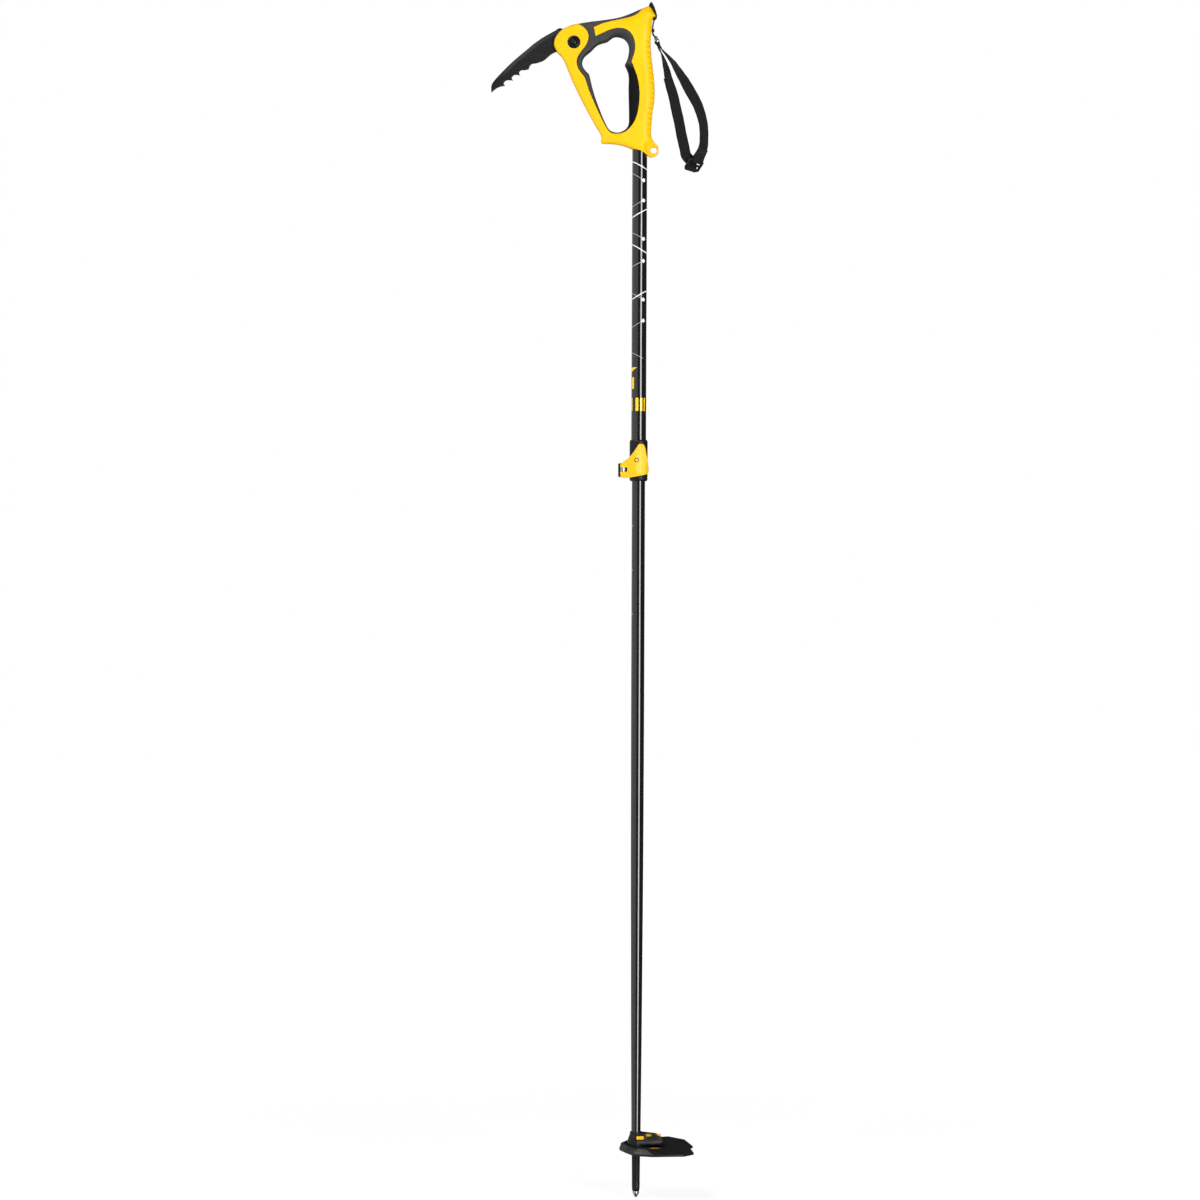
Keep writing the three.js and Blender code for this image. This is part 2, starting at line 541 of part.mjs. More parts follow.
function clampCollar() {
  const lowerBore = LOWER_TUBE_RADIUS + 0.4;
  const upperBore = UPPER_TUBE_RADIUS + GAP;
  const sleeve = turned([[lowerBore, COLLAR_BOTTOM], [9.9, COLLAR_BOTTOM],
    [COLLAR_RADIUS, COLLAR_BOTTOM + COLLAR_CHAMFER], [COLLAR_RADIUS, COLLAR_TOP - COLLAR_CHAMFER],
    [10.3, COLLAR_TOP], [upperBore, COLLAR_TOP], [upperBore, COLLAR_STEP],
    [lowerBore, COLLAR_STEP]]);
  const ears = box([EAR_END_X, -EAR_FACE, EAR_BOTTOM], [-9.6, EAR_FACE, EAR_TOP]);
  const slit = box([-BEYOND, -SLIT_HALF, 0], [SLIT_END_X, SLIT_HALF, HANDLE_BASE_Z]);
  return sleeve.add(ears).subtract(slit).subtract(boltHole);
}

function thrustPad() {
  const padBack = -EAR_FACE - GAP;
  return box([-22.6, padBack - PAD_THICKNESS, 879], [-15, padBack, 892]).subtract(boltHole);
}

const leverPin = pinRod(PIN_RADIUS, PIN_BOTTOM, PIN_TOP);
const boltEye = pinRod(
  BOLT_EYE_RADIUS,
  LEVER_PIVOT_Z - BOLT_EYE_HALF,
  LEVER_PIVOT_Z + BOLT_EYE_HALF,
);
const clampBolt = boltEye.add(boltRod(BOLT_RADIUS, BOLT_FRONT_Y, BOLT_BACK_Y)).subtract(pinHole);

const NUT_LOBES = 10;
const NUT_CREST = 4.7;
const NUT_HOLLOW = 4.2;
const NUT_BACK_Y = 8.8;

function tensionNut() {
  const rim = Array.from({ length: NUT_LOBES * 2 }, (_, i) => {
    const radius = i % 2 ? NUT_CREST : NUT_HOLLOW;
    const angle = (Math.PI * i) / NUT_LOBES;
    return [radius * Math.cos(angle), radius * Math.sin(angle)];
  });
  const body = slab(rim, -NUT_BACK_Y, -EAR_FACE - GAP);
  return facingFront(body, [pinX, LEVER_PIVOT_Z]).subtract(boltHole);
}

function clampLever() {
  const outside = [[-22.2, -12.2], [-20.5, -15.2], [-17, -16.4], [-3, -15.3], [11.5, -8.6],
    [12, -4.2]];
  const inside = arc([0, 0], COLLAR_RADIUS + 2 * GAP, -20, -145, 9);
  const plan = outline(outside, inside, [[-14.6, -7], [-17.6, -6.4], [-21.6, -7.2]]);
  const face = [[-22.4, 878.8], [-20.9, 876.3], [-17.9, 875.4], [-10.6, 876.1], [-2.1, 877.6],
    [10.2, 880.3], [12.2, 882.6], [12, 888], [9.8, 903.8], [7.4, 913.5], [5.2, 916.7],
    [0.4, 916.4], [-1, 915.2], [-3.3, 911.1], [-6.9, 906.2], [-10.2, 902], [-13, 899.2],
    [-17.9, 895.5], [-20.9, 893.7], [-22.4, 891.6]];
  const blade = slab(plan, 0, HANDLE_BASE_Z).add(pinRod(CAM_RADIUS, 0, HANDLE_BASE_Z));
  const forkHalf = BOLT_EYE_HALF + GAP;
  const fork = box(
    [-BEYOND, -BEYOND, LEVER_PIVOT_Z - forkHalf],
    [-13.9, 0, LEVER_PIVOT_Z + forkHalf],
  );
  return blade.intersect(plate(face, BEYOND)).subtract(fork).subtract(pinHole);
}

// Basket: rim points [x, y, z] run anticlockwise as seen from above
const basketRim = [[65.2, 5, 59.5], [70, 20, 57.8], [60, 33, 64], [40, 38, 67], [14, 34, 66],
  [-8, 26, 65], [-18, 12, 63], [-20.3, -4, 59], [-14, -18, 58.2], [-3, -28, 55.6],
  [21, -34, 55.2], [57, -34, 55.8], [70, -20, 56.2]];
const HUB_BORE = 6;
const HUB_RADIUS_OUTSIDE = 9.3;
const DISC_THICKNESS = 2.6;
const DISC_HOLE_RADIUS = HUB_RADIUS_OUTSIDE + 4 * GAP;
const DISC_HOLE_Z = 61;

// A dish with flat facets, each between two rim points and the hole round the hub.
function basketDisc() {
  const section = [[DISC_HOLE_RADIUS, 0], [1, 0], [1, DISC_THICKNESS],
    [DISC_HOLE_RADIUS, DISC_THICKNESS], [DISC_HOLE_RADIUS, 0]];
  const profile = section.map(([r, z]) => new THREE.Vector2(r, z));
  const geometry = new THREE.LatheGeometry(profile, basketRim.length);
  const position = geometry.attributes.position;
  for (let i = 0; i < position.count; i += 1) {
    const step = Math.floor(i / profile.length) % basketRim.length;
    const isRim = profile[i % profile.length].x === 1;
    const [rimX, rimY, rimZ] = basketRim[step];
    const scale = isRim ? 1 : DISC_HOLE_RADIUS / Math.hypot(rimX, rimY);
    const bottom = isRim ? rimZ - DISC_THICKNESS / 2 : DISC_HOLE_Z;
    position.setXYZ(i, rimX * scale, rimY * scale, bottom + profile[i % profile.length].y);
  }
  return toManifold(geometry);
}

function basketHub() {
  const sleeve = ring(HUB_BORE, HUB_RADIUS_OUTSIDE, 58, 80);
  const arm = slab([[4, -9], [28, -8], [32, -4], [32, 4], [28, 8], [4, 9]], 67, 75.5);
  const channel = box([12, -3.5, 71], [BEYOND, 3.5, BEYOND]);
  const window = box([1, -BEYOND, 70], [9.5, -7.8, 75]);
  const bore = rod(HUB_BORE, 0, BEYOND);
  return sleeve.add(arm).subtract(bore).subtract(channel).subtract(window);
}

const basketInsertTop = box([12.3, -3.2, 71.3], [30.5, 3.2, 76.4]);
const basketInsertFront = box([1.3, -10.2, 70.3], [9.2, -8.1, 74.7]);

// Assembly
const handle = new THREE.Group();
handle.position.z = HANDLE_BASE_Z;
handle.add(
  meshOf("grip_frame", gripFrame(), yellowPlastic()),
  meshOf("grip_overmould", gripOvermould(), blackRubber()),
  meshOf("pick", plate(pickOutline, PICK_HALF).subtract(pivotHoles), blackSteel()),
  meshOf("pick_washer_front", facingFront(washer(PICK_HALF + GAP), PIVOT), brightSteel()),
  meshOf("pick_washer_back", facingFront(washer(-SLOT_HALF + GAP), PIVOT), brightSteel()),
  meshOf("pivot_barrel", facingFront(barrel, PIVOT), brightSteel()),
  meshOf("axle_screw", facingFront(axleScrew, PIVOT), brightSteel()),
  meshOf("button_ring", facingFront(bezel, PIVOT), blackPlastic()),
  meshOf("lock_button", facingFront(lockButton, PIVOT), blackPlastic()),
  meshOf("button_spring", facingFront(lockSpring(), PIVOT), brightSteel()),
  meshOf("rear_clip", rearClip, blackPlastic()),
  meshOf("clip_screw", clipScrew, brightSteel()),
  meshOf("anchor_cord", anchorCord(), blackFabric()),
  meshOf("cord_keeper", cordKeeper(), blackPlastic()),
  meshOf("strap_link", strapLink(), brightSteel()),
  meshOf("strap_webbing", strapWebbing(), blackFabric()),
  meshOf("strap_tail", strapTail(), blackFabric()),
  meshOf("strap_buckle", strapBuckle(), blackPlastic()),
);

const shaft = new THREE.Group();
shaft.add(
  meshOf("upper_tube", upperTube, blackTube()),
  meshOf("top_plug", topPlug, blackPlastic()),
  meshOf("clamp_collar", clampCollar(), blackPlastic()),
  meshOf("thrust_pad", thrustPad(), blackPlastic()),
  meshOf("lever_pin", leverPin, brightSteel()),
  meshOf("clamp_bolt", clampBolt, brightSteel()),
  meshOf("tension_nut", tensionNut(), brightSteel()),
  meshOf("clamp_lever", clampLever(), yellowPlastic()),
  meshOf("lower_tube", lowerTube, blackTube()),
  meshOf("inner_guide", innerGuide, blackPlastic()),
  meshOf("tip_ferrule", ferrule, blackPlastic()),
  meshOf("steel_tip", steelTip, brightSteel()),
);

const basket = new THREE.Group();
basket.add(
  meshOf("basket_disc", basketDisc(), blackPlastic()),
  meshOf("basket_hub", basketHub(), blackPlastic()),
  meshOf("basket_insert_top", basketInsertTop, yellowPlastic()),
  meshOf("basket_insert_front", basketInsertFront, yellowPlastic()),
);

const pole = new THREE.Group();
pole.add(handle, shaft, basket);

export default pole;
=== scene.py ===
"""A folding-pick touring pole: its visible pieces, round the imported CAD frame.

+Z runs up the shaft and +X points to the wrist strap. Outlines are lists of [x, z] in millimetres,
the handle's are measured from HANDLE_BASE, and everything becomes metres when its mesh is made.
"""

import math

import bmesh
import bpy
import numpy as np
from mathutils import Matrix, Vector, geometry


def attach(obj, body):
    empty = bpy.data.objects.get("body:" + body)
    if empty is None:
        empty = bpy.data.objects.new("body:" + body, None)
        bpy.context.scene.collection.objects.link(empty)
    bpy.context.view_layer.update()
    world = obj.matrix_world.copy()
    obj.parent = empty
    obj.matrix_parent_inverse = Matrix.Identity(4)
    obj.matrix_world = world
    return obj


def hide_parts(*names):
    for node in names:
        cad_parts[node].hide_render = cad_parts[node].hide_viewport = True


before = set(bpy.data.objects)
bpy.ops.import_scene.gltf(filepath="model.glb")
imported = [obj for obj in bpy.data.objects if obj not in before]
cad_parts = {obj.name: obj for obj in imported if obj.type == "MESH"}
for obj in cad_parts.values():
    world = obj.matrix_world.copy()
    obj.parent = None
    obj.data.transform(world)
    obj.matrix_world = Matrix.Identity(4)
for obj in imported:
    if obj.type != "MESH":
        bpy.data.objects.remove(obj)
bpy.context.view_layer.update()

# Driving dimensions, in millimetres
MM = 0.001
HANDLE_BASE = 1275.0  # where the shaft enters the handle
UP_HANDLE = (0, 0, HANDLE_BASE)
PIVOT = np.array([-80.6, 130.0])  # pick pivot, in the handle's own x and z
ARM_HALF = 9.5  # half thickness of the handle's eye and front arm
GRIP_HALF = 14.0  # half thickness of the handle's grip
TAB_HALF = 4.0
UPPER_TUBE_RADIUS = 9.0
LOWER_TUBE_RADIUS = 8.0
SLOT_HALF = 3.2  # half width of the pick's slot
PICK_HALF = 2.0
PICK_FOLD = 76  # degrees that the pick turns through to fold away
CAMERA_DISTANCE = 4200.0
CAMERA_CENTRE = (-46.3, 727.0)  # x and z of the point in the middle of the view
VIEW_WIDTH = 1461.6  # what the view spans at the shaft
CAMERA_ROLL = 0.222  # degrees
SENSOR = 36.0


# Camera
def make_camera():
    data = bpy.data.cameras.new("camera")
    data.sensor_width = SENSOR
    data.lens = SENSOR * CAMERA_DISTANCE / VIEW_WIDTH
    data.clip_end = 50
    camera = bpy.data.objects.new("camera", data)
    upright = Matrix.Rotation(math.radians(90), 4, "X")
    roll = Matrix.Rotation(math.radians(CAMERA_ROLL), 4, "Z")
    x, z = CAMERA_CENTRE
    place = Matrix.Translation(Vector((x, -CAMERA_DISTANCE, z)) * MM)
    camera.matrix_world = place @ upright @ roll
    bpy.context.scene.collection.objects.link(camera)
    bpy.context.scene.camera = camera


make_camera()


# Numbers
def smoothstep(low, high, value):
    t = np.clip((value - low) / (high - low), 0, 1)
    return t * t * (3 - 2 * t)


def mix(a, b, share):
    return a + (b - a) * share


def unit(vectors):
    vectors = np.asarray(vectors, float)
    return vectors / np.linalg.norm(vectors, axis=-1, keepdims=True)


def smooth_run(points, step=0.8):
    """Points about `step` apart on a smooth curve through `points`, in two or three dimensions."""
    p = np.array([points[0], *points, points[-1]], float)
    spans = []
    for a, b, c, d in zip(p, p[1:], p[2:], p[3:]):
        count = max(1, round(np.linalg.norm(c - b) / step))
        t = np.arange(count)[:, None] / count
        start, end = (c - a) / 2, (d - b) / 2
        cubic = (2 * b - 2 * c + start + end) * t**3
        square = (3 * c - 3 * b - 2 * start - end) * t**2
        spans.append(cubic + square + start * t + b)
    return np.vstack([*spans, p[-1:]])


def straight_run(points, step=0.8):
    """Points about `step` apart on the straight lines between `points`."""
    p = np.array(points, float)
    spans = []
    for a, b in zip(p, p[1:]):
        count = max(1, round(np.linalg.norm(b - a) / step))
        spans.append(a + (b - a) * np.arange(count)[:, None] / count)
    return np.vstack([*spans, p[-1:]])


def arc(centre, radius, start, end, count):
    angles = np.radians(np.linspace(start, end, count + 1))
    return np.array(centre) + radius * np.column_stack([np.cos(angles), np.sin(angles)])


def closed(*runs):
    """One closed outline from runs that meet end to end."""
    points = np.vstack(runs)
    gaps = np.linalg.norm(points - np.roll(points, -1, 0), axis=1)
    return points[gaps > 0.02]


def distance(points, line, is_closed=True):
    """How far each point is from a line of points."""
    a, b = (line, np.roll(line, -1, 0)) if is_closed else (line[:-1], line[1:])
    along = b - a
    squares = np.maximum((along**2).sum(1), 1e-12)
    found = np.full(len(points), 1e9)
    for start in range(0, len(points), 2000):
        part = points[start:start + 2000, None, :] - a[None]
        t = np.clip((part * along).sum(2) / squares, 0, 1)
        gaps = part - t[..., None] * along
        found[start:start + 2000] = np.sqrt((gaps**2).sum(2)).min(1)
    return found


def beside(line, gap):
    """Points along both sides of a line, at a distance from it."""
    turn = unit(np.gradient(line, axis=0)) @ np.array([[0, 1], [-1, 0]])
    both = np.vstack([line + gap * turn, line - gap * turn])
    return both[distance(both, line, False) > 0.98 * gap]


def inside(points, outline):
    a, b = outline, np.roll(outline, -1, 0)
    found = np.zeros(len(points), bool)
    for (ax, az), (bx, bz) in zip(a, b):
        if az == bz:
            continue
        crosses = (az > points[:, 1]) != (bz > points[:, 1])
        found ^= crosses & (points[:, 0] < (bx - ax) * (points[:, 1] - az) / (bz - az) + ax)
    return found


# Meshes
def new_piece(name, vertices, faces, offset=(0, 0, 0), sharp=40, uvs=None):
    """A mesh object from vertices in millimetres, smooth but for edges sharper than an angle. uvs
    gives each vertex its place in the UV map "along"."""
    mesh = bpy.data.meshes.new(name)
    moved = (np.asarray(vertices, float) + np.array(offset, float)) * MM
    mesh.from_pydata(moved.tolist(), [], [list(map(int, f)) for f in faces])
    if uvs is not None:
        corners = np.empty(len(mesh.loops), int)
        mesh.loops.foreach_get("vertex_index", corners)
        mesh.uv_layers.new(name="along").data.foreach_set("uv", np.asarray(uvs)[corners].ravel())
    mesh.validate()
    build = bmesh.new()
    build.from_mesh(mesh)
    bmesh.ops.remove_doubles(build, verts=build.verts, dist=1e-6)
    bmesh.ops.recalc_face_normals(build, faces=build.faces)
    build.to_mesh(mesh)
    build.free()
    piece = bpy.data.objects.new(name, mesh)
    bpy.context.scene.collection.objects.link(piece)
    return smooth(piece, sharp)


def smooth(piece, sharp=40):
    piece.data.polygons.foreach_set("use_smooth", [True] * len(piece.data.polygons))
    piece.data.set_sharp_from_angle(angle=math.radians(sharp))
    return piece


def apply_modifiers(piece):
    graph = bpy.context.evaluated_depsgraph_get()
    piece.data = bpy.data.meshes.new_from_object(piece.evaluated_get(graph))
    piece.modifiers.clear()
    return piece


def combine(piece, others, operation="DIFFERENCE", sharp=40):
    """Cuts the other pieces out of a piece, or joins them to it, and removes them."""
    for other in others:
        modifier = piece.modifiers.new(operation, "BOOLEAN")
        modifier.operation = operation
        modifier.object = other
        modifier.solver = "EXACT"
    apply_modifiers(piece)
    for other in others:
        bpy.data.objects.remove(other)
    return smooth(piece, sharp)


def bevelled(piece, width, segments=3, angle=35, sharp=40):
    modifier = piece.modifiers.new("bevel", "BEVEL")
    modifier.width = width * MM
    modifier.segments = segments
    modifier.limit_method = "ANGLE"
    modifier.angle_limit = math.radians(angle)
    apply_modifiers(piece)
    return smooth(piece, sharp)


def sheet_points(outlines, fine, coarse, edge):
    """Grid points inside outlines: fine ones near an outline, and coarse ones elsewhere."""
    low, high = outlines[0].min(0), outlines[0].max(0)
    xs = np.arange(low[0] + fine / 2, high[0], fine)
    zs = np.arange(low[1] + fine / 2, high[1], fine)
    i, j = np.meshgrid(np.arange(len(xs)), np.arange(len(zs)), indexing="ij")
    points = np.column_stack([xs[i.ravel()], zs[j.ravel()]])
    keep = inside(points, outlines[0])
    for hole in outlines[1:]:
        keep &= ~inside(points, hole)
    points, i, j = points[keep], i.ravel()[keep], j.ravel()[keep]
    gap = np.min([distance(points, o) for o in outlines], axis=0)
    stride = max(1, round(coarse / fine))
    sparse = (i % stride == 0) & (j % stride == 0)
    return points[(gap > 0.45 * fine) & ((gap < edge) | sparse)]


def plate(name, outline, half, holes=(), back=None, fine=0.8, coarse=2.4, edge=5, creases=None,
          offset=UP_HANDLE, sharp=40):
    """A plate over an outline in the XZ plane. half(points) gives how far its front stands from the
    middle plane, and back(points) its back's y, or else the back mirrors the front. creases are points
    along the folds in its faces."""
    loops = [np.asarray(outline, float), *[np.asarray(hole, float) for hole in holes]]
    inner = sheet_points(loops, fine, coarse, edge)
    if creases is not None:
        creases = creases[inside(creases, loops[0]) & (distance(creases, loops[0]) > 0.5 * fine)]
        inner = np.vstack([inner[distance(inner, creases, False) > 0.6 * fine], creases])
    points = np.vstack([*loops, inner])
    edges, start = [], 0
    for loop in loops:
        count = len(loop)
        edges += [(start + k, start + (k + 1) % count) for k in range(count)]
        start += count
    result = geometry.delaunay_2d_cdt([Vector(p) for p in points], edges, [], 0, 1e-6)
    flat = np.array([tuple(v) for v in result[0]])
    triangles = np.array(result[2])
    middles = flat[triangles].mean(1)
    keep = inside(middles, loops[0])
    for hole in loops[1:]:
        keep &= ~inside(middles, hole)
    triangles = triangles[keep]
    front_y = -half(flat)
    back_y = -front_y if back is None else back(flat)
    count = len(flat)
    vertices = np.vstack([np.column_stack([flat[:, 0], y, flat[:, 1]]) for y in (front_y, back_y)])
    sides = {pair: True for a, b, c in triangles for pair in ((a, b), (b, c), (c, a))}
    rim = [pair for pair in sides if pair[::-1] not in sides]
    faces = [tuple(t) for t in triangles]
    faces += [(c + count, b + count, a + count) for a, b, c in triangles]
    faces += [(b, a, a + count, b + count) for a, b in rim]
    return new_piece(name, vertices, faces, offset, sharp)


def ring_faces(rings, count):
    """The faces between rings of vertices, one ring after another along a piece."""
    steps = [(k, (k + 1) % count) for k in range(count)]
    starts = [(r * count, (r + 1) * count) for r in range(rings - 1)]
    return [(low + k, low + m, high + m, high + k) for low, high in starts for k, m in steps]


def along_lengths(points):
    """How far along a line of points each one is."""
    return np.concatenate([[0], np.cumsum(np.linalg.norm(np.diff(points, axis=0), axis=1))])


def lathe(name, profile, sides=96, radius_at=None, offset=(0, 0, 0), sharp=40):
    """A solid turned about Z from a closed profile of [radius, z]. radius_at(angles, radii, heights)
    changes the radii, as for a knurl."""
    profile = np.asarray(profile, float)
    around = np.linspace(0, 2 * math.pi, sides, endpoint=False)
    turns, radii = np.meshgrid(around, profile[:, 0], indexing="ij")
    heights = np.tile(profile[:, 1], (sides, 1))
    if radius_at:
        radii = radius_at(turns, radii, heights)
    vertices = np.stack([radii * np.cos(turns), radii * np.sin(turns), heights], 2).reshape(-1, 3)
    n = len(profile)
    faces = []
    for i in range(sides):
        j = (i + 1) % sides
        for k in range(n):
            m = (k + 1) % n
            if profile[k, 0] < 1e-9 and profile[m, 0] < 1e-9:
                continue
            faces.append((i * n + k, j * n + k, j * n + m, i * n + m))
    return new_piece(name, vertices, faces, offset, sharp)


def prism(name, outline, low, high, offset=UP_HANDLE):
    """A straight prism over an outline in the XZ plane, between two values of y."""
    outline = np.asarray(outline, float)
    n = len(outline)
    vertices = [(x, y, z) for y in (low, high) for x, z in outline]
    faces = [tuple(range(n))[::-1], tuple(range(n, 2 * n))]
    faces += [(k, (k + 1) % n, n + (k + 1) % n, n + k) for k in range(n)]
    return new_piece(name, vertices, faces, offset)


def cylinder(name, radius, low, high, sides=64, offset=(0, 0, 0)):
    return lathe(name, [[0, low], [radius, low], [radius, high], [0, high]], sides, None, offset)


def block(name, low, high, bevel, offset=(0, 0, 0)):
    """A box between two corners, with rounded edges."""
    corners = [(x, y, z) for x in (low[0], high[0]) for y in (low[1], high[1]) for z in (low[2], high[2])]
    faces = [(0, 1, 3, 2), (4, 6, 7, 5), (0, 4, 5, 1), (2, 3, 7, 6), (0, 2, 6, 4), (1, 5, 7, 3)]
    piece = new_piece(name, corners, faces, offset)
    return bevelled(piece, bevel) if bevel else piece


def face_front(piece, centre):
    """Turns a piece made along Z so that its top faces -Y, and moves it to a point of the handle."""
    x, z = centre
    turn = Matrix.Rotation(math.radians(90), 4, "X")
    piece.data.transform(Matrix.Translation(Vector((x, 0, z + HANDLE_BASE)) * MM) @ turn)
    return piece


def tube(name, path, radius, sides=16, offset=(0, 0, 0), relief=None):
    """A round bar along a path. relief(length, angles) gives factors of its radius."""
    path = np.asarray(path, float)
    tangents = unit(np.gradient(path, axis=0))
    lengths = along_lengths(path)
    side = unit(np.cross(tangents[0], [0.3, 1, 0.2]))
    angles = np.linspace(0, 2 * math.pi, sides, endpoint=False)
    rings, uvs = [], []
    for point, tangent, length in zip(path, tangents, lengths):
        side = unit(side - tangent * (side @ tangent))
        other = np.cross(tangent, side)
        factor = relief(length, angles) if relief else np.ones(sides)
        around = np.outer(np.cos(angles) * factor, side) + np.outer(np.sin(angles) * factor, other)
        rings.append(point + radius * around)
        uvs.append(np.column_stack([angles / (2 * math.pi), np.full(sides, length)]))
    vertices = np.vstack([*rings, path[:1], path[-1:]])
    n, rows = sides, len(path)
    faces = ring_faces(rows, n)
    faces += [((k + 1) % n, k, rows * n) for k in range(n)]
    faces += [((rows - 1) * n + k, (rows - 1) * n + (k + 1) % n, rows * n + 1) for k in range(n)]
    uvs = np.vstack([*uvs, uvs[0][:1], uvs[-1][:1]])
    return new_piece(name, vertices, faces, offset, 50, uvs)


# Materials
class Value:
    """A number in a material's nodes. Sums with it add nodes."""

    def __init__(self, look, socket):
        self.look, self.socket = look, socket

    def __add__(self, other):
        return self.look.maths("ADD", self, other)

    def __sub__(self, other):
        return self.look.maths("SUBTRACT", self, other)

    def __mul__(self, other):
        return self.look.maths("MULTIPLY", self, other)

    def __truediv__(self, other):
        return self.look.maths("DIVIDE", self, other)

    def __pow__(self, other):
        return self.look.maths("POWER", self, other)

    def __abs__(self):
        return self.look.maths("ABSOLUTE", self)


class Look:
    """A node material, built up from its Principled shader."""

    def __init__(self, name, roughness=0.5, metallic=0.0, **plain):
        self.material = bpy.data.materials.new(name)
        self.material.use_nodes = True
        self.tree = self.material.node_tree
        self.shader = self.tree.nodes["Principled BSDF"]
        self.shader.inputs["Roughness"].default_value = roughness
        self.shader.inputs["Metallic"].default_value = metallic
        for socket, value in plain.items():
            self.shader.inputs[socket.replace("_", " ")].default_value = value
        self.place = self.node("ShaderNodeTexCoord").outputs["Object"]
        self.height = None

    def node(self, kind, **settings):
        made = self.tree.nodes.new(kind)
        for key, value in settings.items():
            setattr(made, key, value)
        return made

    def link(self, source, target):
        if isinstance(source, (int, float, tuple)):
            target.default_value = source
        else:
            self.tree.links.new(getattr(source, "socket", source), target)

    def maths(self, operation, a, b=None, c=None, clamp=False):
        made = self.node("ShaderNodeMath", operation=operation, use_clamp=clamp)
        for socket, value in zip(made.inputs, (a, b, c)):
            if value is not None:
                self.link(value, socket)
        return Value(self, made.outputs[0])

    def noise(self, scale, detail=2.0, place=None, stretch=None, roughness=0.5):
        made = self.node("ShaderNodeTexNoise")
        made.inputs["Scale"].default_value = scale
        made.inputs["Detail"].default_value = detail
        made.inputs["Roughness"].default_value = roughness
        place = place or self.place
        if stretch:
            mapping = self.node("ShaderNodeMapping")
            mapping.inputs["Scale"].default_value = stretch
            self.link(place, mapping.inputs["Vector"])
            place = mapping.outputs[0]
        self.link(place, made.inputs["Vector"])
        return Value(self, made.outputs["Fac"])

    def ramp(self, value, low, high, start=0.0, end=1.0):
        made = self.node("ShaderNodeMapRange", interpolation_type="SMOOTHSTEP")
        for socket, number in zip(("From Min", "From Max", "To Min", "To Max"), (low, high, start, end)):
            made.inputs[socket].default_value = number
        self.link(value, made.inputs["Value"])
        return Value(self, made.outputs["Result"])

    def blend(self, share, first, second):
        made = self.node("ShaderNodeMix", data_type="RGBA")
        self.link(share, made.inputs["Factor"])
        for socket, colour in ((made.inputs[6], first), (made.inputs[7], second)):
            self.link((*colour, 1.0) if isinstance(colour, tuple) else colour, socket)
        return made.outputs[2]

    def colour(self, value):
        self.link((*value, 1.0) if isinstance(value, tuple) else value, self.shader.inputs["Base Color"])
        return self

    def rough(self, value):
        self.link(value, self.shader.inputs["Roughness"])
        return self

    def bump(self, value, depth):
        """Adds relief of a depth in millimetres."""
        made = self.node("ShaderNodeBump")
        made.inputs["Distance"].default_value = depth * MM
        made.inputs["Strength"].default_value = 1.0
        self.link(value, made.inputs["Height"])
        if self.height:
            self.link(self.height, made.inputs["Normal"])
        self.height = made.outputs["Normal"]
        self.link(self.height, self.shader.inputs["Normal"])
        return self

    def edges(self, low=0.51, high=0.56):
        """1 on sharp outer edges and 0 elsewhere."""
        return self.ramp(self.node("ShaderNodeNewGeometry").outputs["Pointiness"], low, high)

    def across(self):
        """The UV map's two numbers: across or around the piece, and along it in millimetres."""
        made = self.node("ShaderNodeSeparateXYZ")
        self.link(self.node("ShaderNodeUVMap", uv_map="along").outputs["UV"], made.inputs[0])
        return Value(self, made.outputs["X"]), Value(self, made.outputs["Y"])

    def length(self, a, b):
        return self.maths("SQRT", a ** 2.0 + b ** 2.0)

    def round_tube(self, x, y, radius):
        """How far round a tube each place is, in millimetres from its front."""
        return self.maths("ARCTAN2", x, y * -1.0) * radius

    def axes(self):
        """The place's x, y and z in the object's frame, in millimetres."""
        made = self.node("ShaderNodeSeparateXYZ")
        self.link(self.place, made.inputs[0])
        return [self.maths("MULTIPLY", output, 1 / MM) for output in made.outputs]


def moulded_plastic(name, base, deep, roughness, shine=0.5, graphics=None):
    """Moulded plastic: faint clouding of the pigment, fine spark-eroded grain and paler rubbed edges."""
    look = Look(name, roughness, Specular_IOR_Level=shine)
    clouds = look.ramp(look.noise(28, 3), 0.35, 0.7)
    body = look.blend(clouds, deep, base)
    pale = tuple(min(1.0, c * 1.25 + 0.012) for c in base)
    scuffs = look.ramp(look.noise(420, 3), 0.45, 0.7)
    if graphics:
        for mask, ink in graphics(look):
            body = look.blend(mask, body, ink)
    rubbed = look.edges() * (scuffs * 0.6)
    look.colour(look.blend(rubbed, body, pale))
    look.rough(look.ramp(look.noise(90, 4), 0.3, 0.7, roughness - 0.06, roughness + 0.07))
    look.bump(look.noise(1500, 2), 0.02)
    look.bump(look.noise(160, 2), 0.03)
    return look.material


def soft_rubber(name, base, pale):
    """Overmoulded rubber: a matt skin with fine pebbling, and a tackier pad under the fingers whose
    near-black colour is painted shade.
    """
    look = Look(name, 0.6)
    clouds = look.ramp(look.noise(35, 4), 0.3, 0.75)
    x, _, z = look.axes()
    # Painted shade: the grip's hollow inner face below the opening, under the fingers, is coloured far
    # darker, at 0.15 times the rubber's colour, and also gets less shine.
    painted_shade_pad = look.ramp(z, HANDLE_BASE + 108, HANDLE_BASE + 96) * look.ramp(x, -30, -20)
    look.colour(look.blend(painted_shade_pad, look.blend(clouds, base, pale), tuple(c * 0.15 for c in base)))
    look.link(look.ramp(painted_shade_pad, 0, 1, 0.5, 0.12), look.shader.inputs["Specular IOR Level"])
    look.rough(look.ramp(look.noise(140, 3), 0.3, 0.7, 0.5, 0.68))
    cells = look.node("ShaderNodeTexVoronoi", feature="SMOOTH_F1")
    cells.inputs["Scale"].default_value = 1400
    look.link(look.place, cells.inputs["Vector"])
    look.bump(look.maths("SUBTRACT", 1.0, cells.outputs["Distance"]), 0.06)
    return look.material


